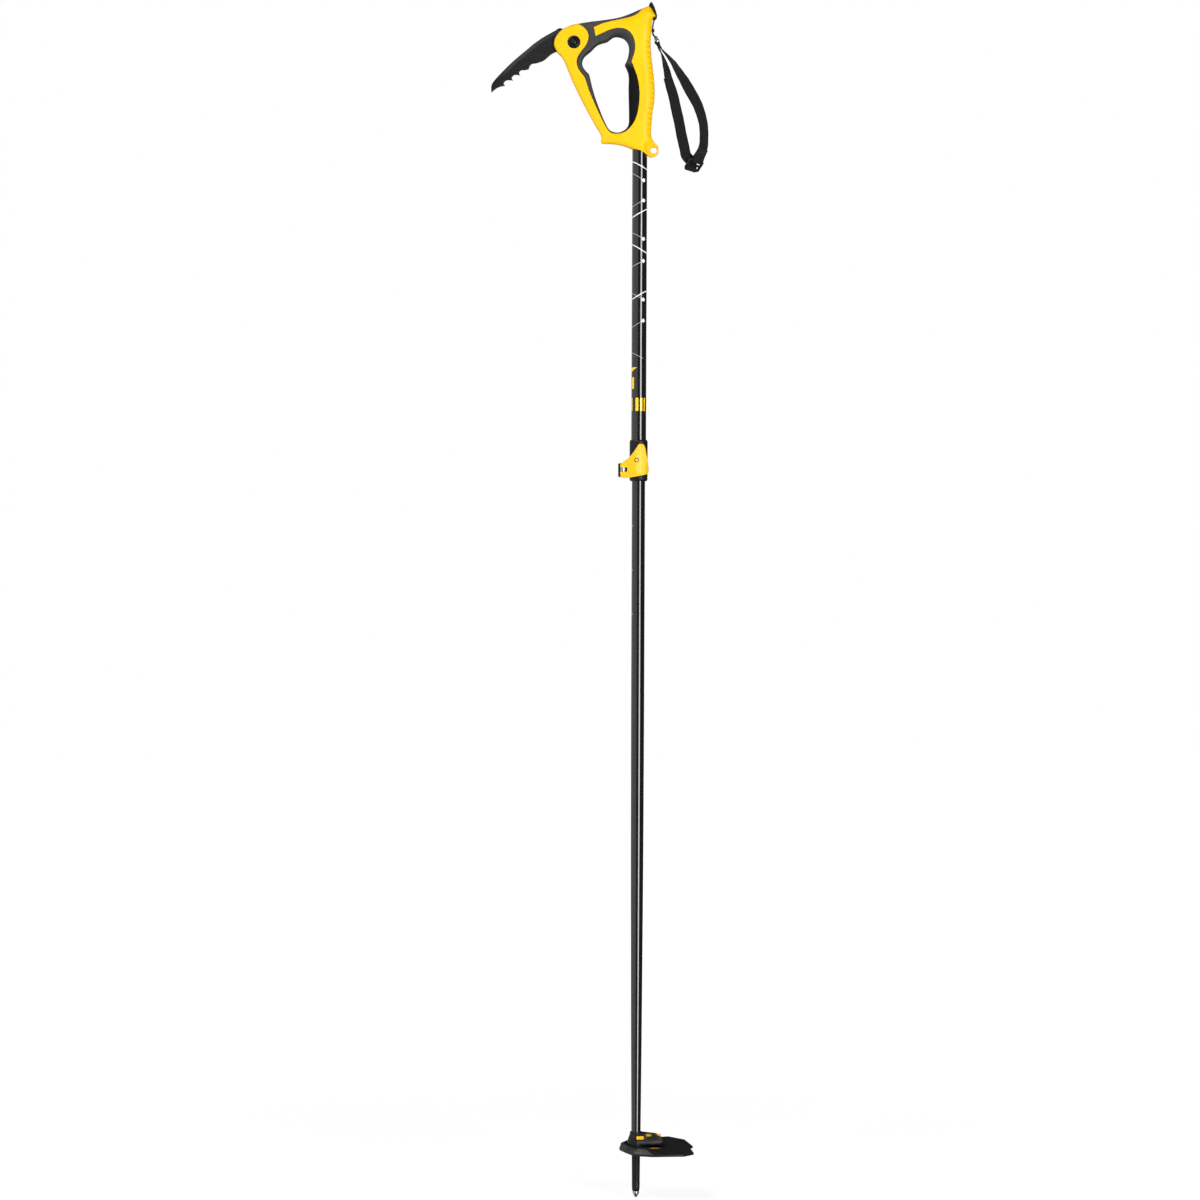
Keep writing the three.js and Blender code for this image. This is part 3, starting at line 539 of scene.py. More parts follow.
def coated_steel(name, base, worn):
    """Black coated steel: rolled and ground streaks, and bare metal showing where the edges rub."""
    look = Look(name, 0.42, 0.35, Specular_IOR_Level=0.4)
    streaks = look.noise(60, 5, stretch=(1, 4, 9))
    grain = look.noise(900, 2)
    body = look.blend(look.ramp(streaks, 0.3, 0.75), base, tuple(c * 1.2 for c in base))
    chips = look.ramp(look.noise(520, 4), 0.52, 0.62)
    bare = look.edges(0.54, 0.66) * (chips * 0.4)
    look.colour(look.blend(bare, body, worn))
    look.rough(look.ramp(streaks, 0.3, 0.75, 0.42, 0.5))
    look.bump(grain, 0.012)
    look.bump(streaks, 0.006)
    return look.material


def bright_steel(name, base, roughness=0.25):
    """Turned bright steel with fine tool marks and a little tarnish in the hollows."""
    look = Look(name, roughness, 1.0)
    tarnish = look.ramp(look.noise(180, 4), 0.4, 0.75)
    look.colour(look.blend(tarnish, base, tuple(c * 0.7 for c in base)))
    look.rough(look.ramp(look.noise(300, 3), 0.3, 0.7, roughness - 0.07, roughness + 0.1))
    look.bump(look.noise(2600, 2, stretch=(1, 1, 0.25)), 0.006)
    return look.material


def lacquer(name, base, graphics=None):
    """Gloss lacquer over a tube, with a soft unevenness and a few hairline rubs along the shaft."""
    look = Look(name, 0.13, IOR=1.75, Coat_Weight=0.35, Coat_Roughness=0.06)
    hairs = look.noise(300, 3, stretch=(9, 9, 0.12))
    depth = look.ramp(look.noise(9, 3), 0.3, 0.7)
    body = look.blend(depth, base, tuple(c * 1.6 for c in base))
    if graphics:
        for mask, ink in graphics(look):
            body = look.blend(mask, body, ink)
    look.colour(body)
    look.rough(look.ramp(hairs, 0.55, 0.75, 0.11, 0.24))
    look.bump(look.noise(40, 2), 0.015)
    look.bump(hairs, 0.002)
    return look.material


def woven(name, base, pale, pitch=1.1):
    """Flat webbing: ribs of slanted picks in rows across the band, from its UV map."""
    look = Look(name, 0.78, Sheen_Weight=0.06, Sheen_Roughness=0.4, Specular_IOR_Level=0.3)
    u, v = look.across()
    columns = u * 14.0
    column = look.maths("FRACT", columns)
    odd = look.maths("PINGPONG", columns, 1.0)
    lean = (odd - 0.5) * 0.9
    row = look.maths("FRACT", v / pitch + lean)
    across = look.maths("SINE", column * math.pi)
    along = look.maths("SINE", row * math.pi)
    pick = across ** 0.6 * along ** 0.6
    fibres = look.noise(2500, 2)
    shade = pick * 0.75 + fibres * 0.35
    look.colour(look.blend(look.ramp(shade, 0.15, 1.0), base, pale))
    look.rough(look.ramp(fibres, 0.3, 0.7, 0.68, 0.88))
    look.bump(pick, 0.22)
    look.bump(fibres, 0.03)
    return look.material


def braided(name, base, pale, pitch=1.6):
    """A braided cord: two sets of strands that cross round it, from its UV map."""
    look = Look(name, 0.7, Sheen_Weight=0.2)
    u, v = look.across()
    turns = u * 4.0
    rows = v / pitch
    right = look.maths("PINGPONG", turns + rows, 0.5)
    left = look.maths("PINGPONG", turns - rows, 0.5)
    strands = look.maths("MAXIMUM", right, left)
    look.colour(look.blend(look.ramp(strands, 0.15, 0.5), base, pale))
    look.bump(strands, 0.2)
    look.bump(look.noise(3000, 2), 0.02)
    return look.material


# Shaft graphics: (height on the axis, slope). The bold lines run round the tube. The fine ones stop at
# DOT_X on its front, and all but the last end in a dot there.
BOLD_LINES = [(1255.7, -0.54), (1197.6, 0.57), (1154.3, -0.6), (1098.1, 0.6)]
FINE_LINES = [(1240.6, -0.62), (1210.4, 0.55), (1169.0, -0.56), (1137.0, 0.5), (1095.2, -0.57),
              (1064.0, 0.6), (1023.4, -0.53)]
DOT_X = 4.9
DOT_RADIUS = 2.2
# Yellow blocks on the tube: [left, right, bottom, top], in millimetres round it and up it
YELLOW_BLOCKS = [(-11.2, -6.6, 984, 998), (-12.6, -9.4, 957, 973), (-4.2, -0.6, 957, 973),
                 (1.6, 4.6, 957, 973), (6.4, 8.4, 957, 973)]
SIZE_MARK_HEIGHTS = [821.5, 767.9, 714.3]
# Painted ring on the lever
MARK_CENTRE = (-2.5, 897.0)
MARK_RADIUS = 2.4
MARK_FACE_Y = -13.5  # the lever's outer face lies in front of this


def shaft_graphics(look):
    x, y, z = look.axes()
    front = look.maths("LESS_THAN", y, 0.0)
    around = look.round_tube(x, y, UPPER_TUBE_RADIUS)
    bold, fine, dots = 0.0, 0.0, 0.0
    before_dot = look.maths("LESS_THAN", x, DOT_X) * front
    for height, slope in BOLD_LINES:
        off = abs(look.maths("MULTIPLY_ADD", x, -slope, z) - height)
        bold = look.maths("MAXIMUM", bold, look.ramp(off, 0.75, 0.6))
    for height, slope in FINE_LINES:
        off = abs(look.maths("MULTIPLY_ADD", x, -slope, z) - height)
        fine = look.maths("MAXIMUM", fine, look.ramp(off, 0.5, 0.35) * before_dot)
    dot_around = UPPER_TUBE_RADIUS * math.asin(DOT_X / UPPER_TUBE_RADIUS)
    for height, slope in FINE_LINES[:-1]:
        up = z - (height + slope * DOT_X)
        aside = around - dot_around
        gap = look.length(up, aside)
        dots = look.maths("MAXIMUM", dots, look.ramp(gap, DOT_RADIUS + 0.08, DOT_RADIUS - 0.08))
    blocks = 0.0
    for left, right, bottom, top in YELLOW_BLOCKS:
        across = look.maths("COMPARE", around, (left + right) / 2, (right - left) / 2)
        along = look.maths("COMPARE", z, (bottom + top) / 2, (top - bottom) / 2)
        blocks = look.maths("MAXIMUM", blocks, across * along)
    # A wedge: its top edge is level, and its lower edge rises round the tube
    low_edge = look.maths("MULTIPLY_ADD", around, 0.62, 1011.5)
    wedge = look.maths("GREATER_THAN", z, low_edge) * look.maths("LESS_THAN", z, 1010.0)
    wedge = wedge * look.maths("COMPARE", around, -8.0, 7.0)
    blocks = look.maths("MAXIMUM", blocks, wedge)
    return [(fine, (0.32, 0.32, 0.33)), (bold, (0.85, 0.85, 0.86)), (dots, (0.85, 0.85, 0.86)),
            (blocks, (0.95, 0.62, 0.004))]


def size_marks(look):
    """Ticks of the length scale, at the side of the lower tube."""
    x, y, z = look.axes()
    around = look.round_tube(x, y, LOWER_TUBE_RADIUS)
    ticks = 0.0
    for height in SIZE_MARK_HEIGHTS:
        lean = look.maths("MULTIPLY_ADD", around, -0.45, z)
        line = look.maths("COMPARE", lean, height, 0.7)
        ticks = look.maths("MAXIMUM", ticks, line)
    reach = look.maths("COMPARE", around, -11.5, 3.5)
    return [(ticks * reach, (0.6, 0.5, 0.16))]


def dish_patch(look):
    """A small painted patch on the basket's dish."""
    x, y, _ = look.axes()
    long = look.maths("COMPARE", look.maths("MULTIPLY_ADD", y, -0.4, x), 30.5, 5.4)
    wide = look.maths("COMPARE", y, -18.5, 3.6)
    return [(long * wide, (0.75, 0.36, 0.004))]


def lever_mark(look):
    """A plain painted ring on the lever's outer face."""
    x, y, z = look.axes()
    aside, up = x - MARK_CENTRE[0], z - MARK_CENTRE[1]
    gap = look.length(aside, up)
    ring = look.ramp(abs(gap - MARK_RADIUS), 0.6, 0.5)
    return [(ring * look.maths("LESS_THAN", y, MARK_FACE_Y), (0.01, 0.01, 0.01))]


# Finishes: a material and the slot it fills
YELLOWS = ((0.92, 0.5, 0.0008), (0.88, 0.475, 0.0008))
YELLOW = (moulded_plastic("yellow_plastic", *YELLOWS, 0.34, 0.22), "yellow_plastic")
LEVER_YELLOW = (moulded_plastic("lever_plastic", *YELLOWS, 0.3, 0.4, lever_mark), "yellow_plastic")
BLACK = (
    moulded_plastic("black_plastic", (0.009, 0.009, 0.0098), (0.006, 0.006, 0.0068), 0.4, 0.32),
    "black_plastic",
)
DISH = (
    moulded_plastic("basket_plastic", (0.009, 0.009, 0.01), (0.006, 0.006, 0.007), 0.42, 0.5, dish_patch),
    "black_plastic",
)
RUBBER = (soft_rubber("black_rubber", (0.026, 0.027, 0.026), (0.034, 0.035, 0.034)), "black_rubber")
STEEL_BLACK = (coated_steel("black_steel", (0.011, 0.011, 0.0118), (0.35, 0.35, 0.36)), "black_steel")
STEEL = (bright_steel("bright_steel", (0.66, 0.67, 0.69)), "bright_steel")
UPPER_LACQUER = (lacquer("upper_lacquer", (0.004, 0.004, 0.0045), shaft_graphics), "black_tube")
LOWER_LACQUER = (lacquer("lower_lacquer", (0.004, 0.004, 0.0045), size_marks), "black_tube")
WEBBING = (woven("webbing", (0.0025, 0.0025, 0.0027), (0.010, 0.010, 0.0105)), "webbing")
CORD = (braided("cord", (0.01, 0.01, 0.011), (0.05, 0.05, 0.055)), "cord")


def finish_piece(piece, finish, body, *nodes):
    material, slot = finish
    piece.data.materials.clear()
    piece.data.materials.append(material)
    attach(piece, body)
    if nodes:
        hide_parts(*nodes)


# Handle outlines, from where the shaft enters the handle
FOOT = straight_run([[-47.4, 10.6], [-45.6, 8.0]])
UNDERSIDE = smooth_run([[-45.6, 8.0], [-35.6, 7.8], [-27, 6.9], [-17.3, 4.5], [-8.8, 1.2], [1, -2.8],
    [8.3, -6.2], [13.8, -8.8]])
TAB = straight_run([[13.8, -8.8], [18.9, -7.4], [22.9, -3.7], [22.9, 3.7], [19.2, 7.9]])
BACK = smooth_run([[19.2, 7.9], [16.2, 11], [14.2, 15.5], [13.8, 24.4], [14.7, 36.5], [15.9, 48.7],
    [17.3, 57.2], [18, 67], [17.8, 78], [16.8, 90.1], [15.3, 102.3], [14, 112.1], [13.2, 121.8],
    [12.8, 131.5], [13.2, 140.1], [13.9, 152.3], [14.6, 159]], 0.3)
SHOULDER = smooth_run([[14.6, 159], [16.2, 161.3], [18.2, 162.6], [18.1, 164.6], [16.3, 168], [13.2, 172.8],
    [10.8, 174.6], [7.7, 174.2], [2.2, 172.2]], 0.5)
BRIDGE = smooth_run([[2.2, 172.2], [-3.9, 169.4], [-11.2, 166.1], [-23.4, 161.5], [-35.6, 158.8],
    [-47.7, 157], [-59.9, 155.5], [-75.8, 152.9]])
EYE = smooth_run([[-75.8, 152.9], [-84.3, 151], [-94, 146.5], [-100.1, 140.7], [-103.8, 134.6],
    [-104.9, 128.7], [-103.9, 123.9], [-101, 119.1], [-96.5, 114.5], [-93.1, 110.2]])
ARM = smooth_run([[-93.1, 110.2], [-89.2, 100.5], [-83.1, 85.8], [-78.2, 75.2], [-72.1, 62.9], [-66, 51.2],
    [-59.9, 40], [-53.8, 29.2], [-48.6, 20.8], [-46.7, 15.8], [-47.4, 10.6]])
OPENING = closed(smooth_run([[-18.6, 103.3], [-16.1, 108.4], [-14.4, 114.5], [-13.6, 121.2], [-14, 126.7],
    [-16.1, 131.9], [-20.9, 136.4], [-28.3, 138.2], [-33.1, 137.3], [-36.8, 134.7], [-40.4, 132.1],
    [-45.3, 130.6], [-50.8, 128.6], [-55.1, 125.5], [-58.7, 121.6], [-61.8, 118.8], [-65.4, 116],
    [-68.5, 112.7], [-70.2, 108.4], [-70.4, 103.5], [-69, 99.3], [-66.4, 95.7], [-62.4, 91.8]]),
    smooth_run([[-62.4, 91.8], [-60.9, 87.2], [-59.4, 80.4], [-56.9, 70.9], [-54.3, 62.7], [-51, 53.6],
    [-47.7, 45.1], [-44.1, 36.5], [-40.4, 28.8], [-37.1, 24], [-33.1, 21.6], [-28.3, 20.7], [-23.4, 21.4],
    [-18.5, 23.9], [-14.9, 27.8], [-13.5, 33], [-13.3, 42], [-13.6, 58], [-14, 75.5], [-13.7, 86.5],
    [-14.3, 92.6], [-15.8, 97.4], [-18.6, 103.3]]))
# Where the black overmould meets the yellow frame: round the opening, then along the frame's tongue
RING_EDGE = smooth_run([[-75.8, 152.9], [-72.1, 150.4], [-67.8, 147.4], [-64.8, 143.7], [-63.2, 139.5],
    [-63.2, 134.6], [-64.8, 129.1], [-67.2, 124.8], [-70.3, 120.8], [-73.3, 116.9], [-76, 112.1],
    [-77.2, 107.2], [-76.7, 102.3], [-74.8, 97.4], [-71.5, 92.6], [-67.8, 87.9], [-65.3, 81.6],
    [-62.2, 71.9], [-57.3, 60.3], [-51.2, 46.9], [-45.3, 34.7], [-40.2, 25.6], [-35.6, 20.6], [-28.3, 18.9],
    [-22.2, 19.9], [-16.1, 22.8], [-10.6, 28], [-5.7, 35.8], [-2.7, 45.7], [-1.1, 57.2], [-0.7, 67.6],
    [-1.5, 78], [-3.5, 87.7], [-6.9, 97.4], [-10.4, 106.4]], 0.6)
THROAT_EDGE = smooth_run([[-10.4, 106.4], [-9.2, 110.8], [-7.6, 115.1], [-6.3, 121.8], [-6.5, 128.5],
    [-8.4, 135.8], [-12.4, 141.9], [-18.5, 145.7], [-25.8, 147.1], [-33.1, 146.4], [-40.4, 144],
    [-47.7, 140.6], [-54.4, 137.3]], 0.6)
TONGUE_END = straight_run([[-54.4, 137.3], [-56.5, 148.4]], 0.6)
TONGUE_TOP = smooth_run([[-56.5, 148.4], [-47.7, 152.4], [-40.4, 154.7], [-33.1, 156.4], [-23.4, 158.4],
    [-16.1, 159.9], [-8.8, 162.1], [-2.7, 165.8], [2.2, 172.2]], 0.6)
PARTING = np.vstack([RING_EDGE, THROAT_EDGE, TONGUE_END, TONGUE_TOP])
RIDGE_PITCH = 6.3
RIDGE_DEPTH = 1.25
RIDGES_FROM, RIDGES_TO = 18.0, 139.0


def ridged(line):
    """The back's line with finger ridges: round crests and narrow notches that cut inwards."""
    lengths = along_lengths(line)
    tangents = unit(np.gradient(line, axis=0))
    inward = np.column_stack([-tangents[:, 1], tangents[:, 0]])
    wave = 1 - np.abs(np.sin(math.pi * lengths / RIDGE_PITCH))
    heights = line[:, 1]
    zone = smoothstep(RIDGES_FROM - 3, RIDGES_FROM + 5, heights)
    zone *= 1 - smoothstep(RIDGES_TO - 8, RIDGES_TO + 3, heights)
    return line + inward * (RIDGE_DEPTH * wave**1.6 * zone)[:, None]


RIDGED_BACK = ridged(BACK)
SILHOUETTE = closed(FOOT, UNDERSIDE, TAB, RIDGED_BACK, SHOULDER, BRIDGE, EYE, ARM)
SMOOTH_SILHOUETTE = closed(FOOT, UNDERSIDE, TAB, BACK, SHOULDER, BRIDGE, EYE, ARM)
TAB_HOLE_CENTRE = np.array([16.8, -0.4])
TAB_HOLE_RADIUS = 4.0


def round_off(gap, reach, depth):
    """How far a rounded edge has fallen, at a distance from its rim."""
    share = 1 - np.clip(gap / reach, 0, 1)
    return depth * (1 - np.sqrt(np.maximum(0, 1 - share**2)))


def handle_half(points):
    """Half the handle's thickness: a thick oval grip, a slim arm and eye, and a flat tab."""
    x, z = points[:, 0], points[:, 1]
    grip = smoothstep(-44, -16, x)
    head = smoothstep(146, 172, z)
    half = ARM_HALF + (GRIP_HALF - ARM_HALF) * grip * (1 - 0.55 * head)
    waist = np.exp(-((z - 100) / 26) ** 2) * grip
    half = half - 0.9 * waist
    tab = 1 - smoothstep(7, 15, np.hypot(*(points - TAB_HOLE_CENTRE).T))
    half = mix(half, TAB_HALF, tab)
    reach = mix(mix(4.0, 11.0, grip), 1.2, tab)
    depth = mix(mix(4.0, 8.5, grip), 1.2, tab)
    outer = np.minimum(distance(points, SILHOUETTE), distance(points, SMOOTH_SILHOUETTE) + 0.4)
    half = half - round_off(outer, reach, depth)
    half = half - round_off(distance(points, OPENING), mix(3.2, 9.0, grip), mix(3.2, 8.0, grip))
    hole_gap = np.hypot(*(points - TAB_HOLE_CENTRE).T) - TAB_HOLE_RADIUS
    half = half - round_off(np.maximum(hole_gap, 0), 1.0, 1.0)
    boss = smoothstep(11.6, 10.6, np.hypot(*(points - PIVOT).T))
    return half + 0.35 * boss


def frame_half(points):
    """The yellow frame's surface, with a rounded lip along the parting line."""
    return handle_half(points) - round_off(distance(points, PARTING, False), 0.9, 0.7)


def overmould_half(points):
    """The overmould's surface sinks into a groove along the parting line."""
    gap = distance(points, PARTING, False)
    return handle_half(points) - round_off(gap, 1.1, 0.8) - 0.25 * (1 - smoothstep(0, 5, gap))


def pick_slot():
    """The space that the pick needs in the eye and along the arm."""
    turned = [[-84.2, 142.4], [-94.7, 148.6], [-102, 149], [-115, 160], [-150, 130], [-90, 14]]
    low = [[-182, 67.4], [-164.6, 77.2], [-118, 106.9], [-111, 113.2], [-107.2, 115.9], [-101.6, 118.6],
           [-79, 116.4]]
    angle = math.radians(PICK_FOLD)
    turn = np.array([[math.cos(angle), math.sin(angle)], [-math.sin(angle), math.cos(angle)]])
    floor = (np.array(low) - PIVOT) @ turn + PIVOT
    return prism("slot", np.vstack([turned, floor]), -SLOT_HALF, SLOT_HALF)


def socket():
    cut = cylinder("socket", UPPER_TUBE_RADIUS + 0.3, -20, 152)
    cut.data.transform(Matrix.Translation((0, 0, HANDLE_BASE * MM)))
    return cut


def pivot_seats():
    hub = face_front(cylinder("hub_space", 13.5, -SLOT_HALF, SLOT_HALF), PIVOT)
    front = face_front(cylinder("bezel_seat", 8.0, 7.5, 20), PIVOT)
    back = face_front(cylinder("screw_seat", 6.8, -20, -7.5), PIVOT)
    through = face_front(cylinder("barrel_hole", 5.3, -20, 20), PIVOT)
    return [hub, front, back, through]


def grip_frame():
    outline = closed(FOOT, UNDERSIDE, TAB, RIDGED_BACK, SHOULDER, TONGUE_TOP[::-1], TONGUE_END[::-1],
                     THROAT_EDGE[::-1], RING_EDGE[::-1], EYE, ARM)
    hole = arc(TAB_HOLE_CENTRE, TAB_HOLE_RADIUS, 0, 350, 35)
    piece = plate("handle_frame", outline, frame_half, [hole], fine=0.7, coarse=2.1, edge=4.2)
    combine(piece, [pick_slot(), socket(), *pivot_seats()])
    finish_piece(piece, YELLOW, "root", "grip_frame")


def grip_overmould():
    outline = closed(RING_EDGE, THROAT_EDGE, TONGUE_END, TONGUE_TOP, BRIDGE)
    piece = plate("handle_overmould", outline, overmould_half, [OPENING], fine=0.7, coarse=2.1, edge=6)
    combine(piece, [pick_slot(), socket()])
    finish_piece(piece, RUBBER, "root", "grip_overmould")


# Pick, in its working position
PICK_SPINE = smooth_run([[-92, 146.6], [-95.2, 147.8], [-97.8, 148.3], [-100.8, 147.4], [-103.6, 145.2],
    [-106, 144], [-111.5, 140.9], [-119.5, 136.2], [-129.6, 129], [-139, 121], [-148.7, 112.9],
    [-157.5, 105.2], [-165.6, 97], [-172, 90.2], [-177, 84.5], [-180, 80.2], [-181.2, 76.4], [-181.2, 73]],
    0.6)
PICK_TIP = [-180.9, 69.2]
# Each tooth: its point, then the hollow behind it
PICK_EDGE = [[PICK_TIP, [-178.2, 71.9], [-174.4, 74.9], [-169.8, 76.9], [-164.4, 77.8]], [[-164.4, 77.8],
    [-166.0, 80.2], [-165.2, 82.3], [-163, 84.2], [-159.8, 84.8], [-154.7, 84.3]], [[-154.7, 84.3],
    [-156.3, 86.8], [-155.6, 88.9], [-153.4, 90.9], [-150.2, 91.3], [-145.8, 90.5]], [[-145.8, 90.5],
    [-147.2, 92.8], [-146.7, 95.2], [-144.4, 96.9], [-140.4, 97.1], [-135.7, 98.1]], [[-135.7, 98.1],
    [-134.6, 101.4], [-132.6, 103.9], [-130, 105], [-126.9, 105.3], [-122, 106.8], [-118.3, 108.2],
    [-114.6, 110.8], [-111, 114.2], [-107.4, 116.9], [-103.6, 118.8], [-99, 119.8], [-94, 119.9]]]
HUB_RADIUS = 13.0
SPINE_GRIND = 4.6  # width of the ground chamfer along the spine


def pick():
    teeth = [smooth_run(line, 0.5) for line in PICK_EDGE]
    hub = arc(PIVOT, HUB_RADIUS, -130, 115, 40)
    outline = closed(PICK_SPINE, straight_run([PICK_SPINE[-1], PICK_TIP]), *teeth, hub)
    teeth_line = np.vstack(teeth)

    def half(points):
        ground = np.clip(distance(points, PICK_SPINE, False) / SPINE_GRIND, 0, 1)
        fade = smoothstep(-183, -160, points[:, 0])
        spine_drop = 1.5 * fade * (1 - ground)
        tooth_drop = 0.45 * (1 - np.clip(distance(points, teeth_line, False) / 0.6, 0, 1))
        tip_drop = 0.7 * (1 - smoothstep(0, 14, np.hypot(*(points - np.array(PICK_TIP)).T)))
        return PICK_HALF - spine_drop - tooth_drop - tip_drop

    piece = plate("pick_blade", outline, half, fine=0.6, coarse=2.4, edge=2.4, sharp=14,
                  creases=beside(PICK_SPINE, SPINE_GRIND))
    combine(piece, [face_front(cylinder("pick_hole", 5.3, -20, 20), PIVOT)], sharp=14)
    finish_piece(piece, STEEL_BLACK, "pick", "pick")


def pivot_pieces():
    def knurled(turns, radii, heights):
        rim = (radii > 6.1) & (heights > 8.5)
        return radii - 0.5 * rim * (0.5 + 0.5 * np.cos(10 * turns)) ** 2

    rim = [[4.05, 7.8], [7.6, 7.8], [7.7, 8.0], [7.7, 9.6], [7.55, 10.1], [7.2, 10.45], [6.7, 10.6],
           [6.2, 10.45], [5.6, 9.7], [5.1, 9.35], [4.6, 9.5], [4.2, 9.9], [4.05, 9.8]]
    ring = face_front(lathe("pivot_bezel", rim, 192, knurled), PIVOT)
    finish_piece(ring, BLACK, "root", "button_ring")
    dome = [[0, 4.2], [4.1, 4.2], [4.1, 5.6], [3.7, 5.6], [3.7, 9.6],
            *(np.array([3.7, 1.9]) * arc([0, 0], 1, 8, 84, 12) + np.array([0, 9.6])), [0, 11.5]]
    button = face_front(lathe("release_button", dome, 96), PIVOT)
    finish_piece(button, BLACK, "button", "lock_button")
    screw = lathe("pivot_screw", [[0, -10.4], [5.9, -10.4], [6.3, -10.1], [6.5, -9.6], [6.5, -7.5],
                                  [1.7, -7.5], [1.7, -3.2], [0, -3.2]], 96)
    combine(screw, [lathe("hex_socket", [[0, -12], [2.3, -12], [2.3, -8.9], [0, -8.9]], 6)])
    finish_piece(face_front(screw, PIVOT), STEEL, "root", "axle_screw")


# Clip over the handle's rear shoulder, the cord and the link that carry the strap
CLIP_OUTLINE = closed(smooth_run([[10.3, 175.4], [11.4, 178.6], [12.9, 180], [14.2, 179.7], [16.5, 175.4],
    [18.4, 170.6], [19.3, 166.9], [20.4, 163.9], [19.8, 160.9], [17.8, 158.9], [15.8, 158.8]], 0.5),
    smooth_run([[15.8, 158.8], [15.6, 160.4], [18.3, 161.8], [18.7, 164.1], [16.7, 168.3], [13.6, 173.1],
    [11.2, 174.9], [10.3, 175.4]], 0.5))
CLIP_HALF = 6.0
CLIP_SCREW_Z = 167.6


def rear_clip():
    def half(points):
        taper = 2.2 * smoothstep(170, 181, points[:, 1])
        return CLIP_HALF - taper - round_off(distance(points, CLIP_OUTLINE), 0.9, 0.9)

    piece = plate("shoulder_clip", CLIP_OUTLINE, half, fine=0.35, coarse=0.7, edge=1)
    hole = cylinder("screw_space", 2.6, 17.8, 30, 48)
    turn = Matrix.Rotation(math.radians(90), 4, "Y")
    hole.data.transform(Matrix.Translation(Vector((0, 0, HANDLE_BASE + CLIP_SCREW_Z)) * MM) @ turn)
    combine(piece, [hole])
    finish_piece(piece, BLACK, "root", "rear_clip")


CORD_LEG = [[16.8, 158.4], [16, 155], [15.2, 150], [15.1, 143.5], [16.4, 140], [18.4, 137.6]]
CORD_LEG_Y = 2.2
LINK_EYE = (19.4, 136.5)
LINK_BAR = np.array([20.3, 132.1])


def cord_and_link():
    down = [[x, -CORD_LEG_Y, z] for x, z in CORD_LEG]
    up = [[x, CORD_LEG_Y, z] for x, z in CORD_LEG[::-1]]
    path = smooth_run([*down, [LINK_EYE[0], 0, LINK_EYE[1]], *up], 0.3)

    def strands(length, angles):
        right, left = np.sin(4 * angles + 3.6 * length), np.sin(4 * angles - 3.6 * length)
        return 1 + 0.07 * np.maximum(right, left)

    cord = tube("anchor_loop", path, 0.88, 32, UP_HANDLE, strands)
    finish_piece(cord, CORD, "root", "anchor_cord")
    keeper = block("cord_clamp", [13.8, -5, 144.2], [17.3, 5, 147.2], 0.7, UP_HANDLE)
    grooves = [cylinder("groove", 1.3, 1410, 1430, 24, (15.1, y, 0)) for y in (-CORD_LEG_Y, CORD_LEG_Y)]
    combine(keeper, grooves)
    finish_piece(keeper, BLACK, "root", "cord_keeper")
    ring = arc(LINK_EYE, 2.0, 0, 360, 40)
    ring = tube("link_ring", np.insert(ring, 1, 0, axis=1), 0.62, 16, UP_HANDLE)
    bar = lathe("link_bar", [[0.55, -8.9], [1.5, -8.9], [1.9, -8.6], [1.9, -8.1], [1.5, -7.8], [1, -7.8],
                             [1, 7.8], [1.5, 7.8], [1.9, 8.1], [1.9, 8.6], [1.5, 8.9], [0.55, 8.9]], 40)
    neck = block("link_neck", [19.3, -0.7, 132], [20.5, 0.7, 134.8], 0.25, UP_HANDLE)
    combine(ring, [face_front(bar, LINK_BAR), neck], "UNION", 50)
    finish_piece(ring, STEEL, "strap", "strap_link")


# Strap: one length of webbing, from its sewn end round the buckle's top bar, up the loop's back, over
# the link's bar, down the front, round the buckle's lower bar and up again to its cut end
REAR_BAND = [[72.9, -5.6], [77, 3], [78.3, 14], [77.4, 30.6], [75, 42.1], [70.6, 54.3], [65, 65.5],
    [58.8, 76.2], [52.4, 87.4], [46, 98], [39.3, 108], [32.3, 116.6], [25.7, 124.2], [23.3, 128.6]]
REAR_TWIST = [50, 46, 44, 46, 50, 55, 60, 60, 50, 38, 26, 15, 6, 0]
FRONT_BAND = [[21.6, 127.6], [23.6, 122.8], [27.9, 114], [31.5, 101.2], [34.6, 88.4], [38, 77.4],
    [41.7, 64], [45.4, 47.6], [49.1, 30.6], [52.4, 14.1], [55.6, 0.1], [57.4, -6.5]]
FRONT_TWIST = [0, 0, -12, -28, -38, -44, -48, -50, -50, -50, -50, -50]
WEBBING_WIDTH, WEBBING_THICKNESS = 15.0, 1.5
WIDTH_WEIGHT = 8  # what the width's direction counts for beside the centre, where rows are spaced
LAYER_GAP = 1.72  # between the middles of two layers that lie together
TAIL_END = 4  # the front band's point that the cut end reaches
BUCKLE_CENTRE = np.array([66.1, 0, -17.8])
BUCKLE_AXES = unit([[0.789, 0.592, -0.168], [-0.362, 0.668, 0.651], [0.5, -0.45, 0.74]])
BAR_REACH = 6.2  # from the buckle's middle to its outer bars
WRAP = 2.25  # from a buckle bar's middle to the middle of the webbing round it


def band(points, twists, lift=0.0):
    """Rows of [centre, width direction] along a band, lifted off its face by a distance."""
    points = np.insert(np.array(points, float), 1, 0, axis=1)
    along = unit(np.gradient(points, axis=0))
    outward = np.column_stack([along[:, 2], 0 * along[:, 0], -along[:, 0]])
    turn = np.radians(twists)[:, None]
    across_y = np.array([[0, 1, 0]])
    sideways = np.cos(turn) * across_y + np.sin(turn) * outward
    face = np.cos(turn) * outward - np.sin(turn) * across_y
    return np.hstack([points + lift * face, WIDTH_WEIGHT * sideways])


def at_buckle(side, rows):
    """Rows at the buckle, from [out of its face, up its face] offsets."""
    a, n, b = BUCKLE_AXES
    return np.array([[*(BUCKLE_CENTRE + side * a + p * n + q * b), *(WIDTH_WEIGHT * a)] for p, q in rows])


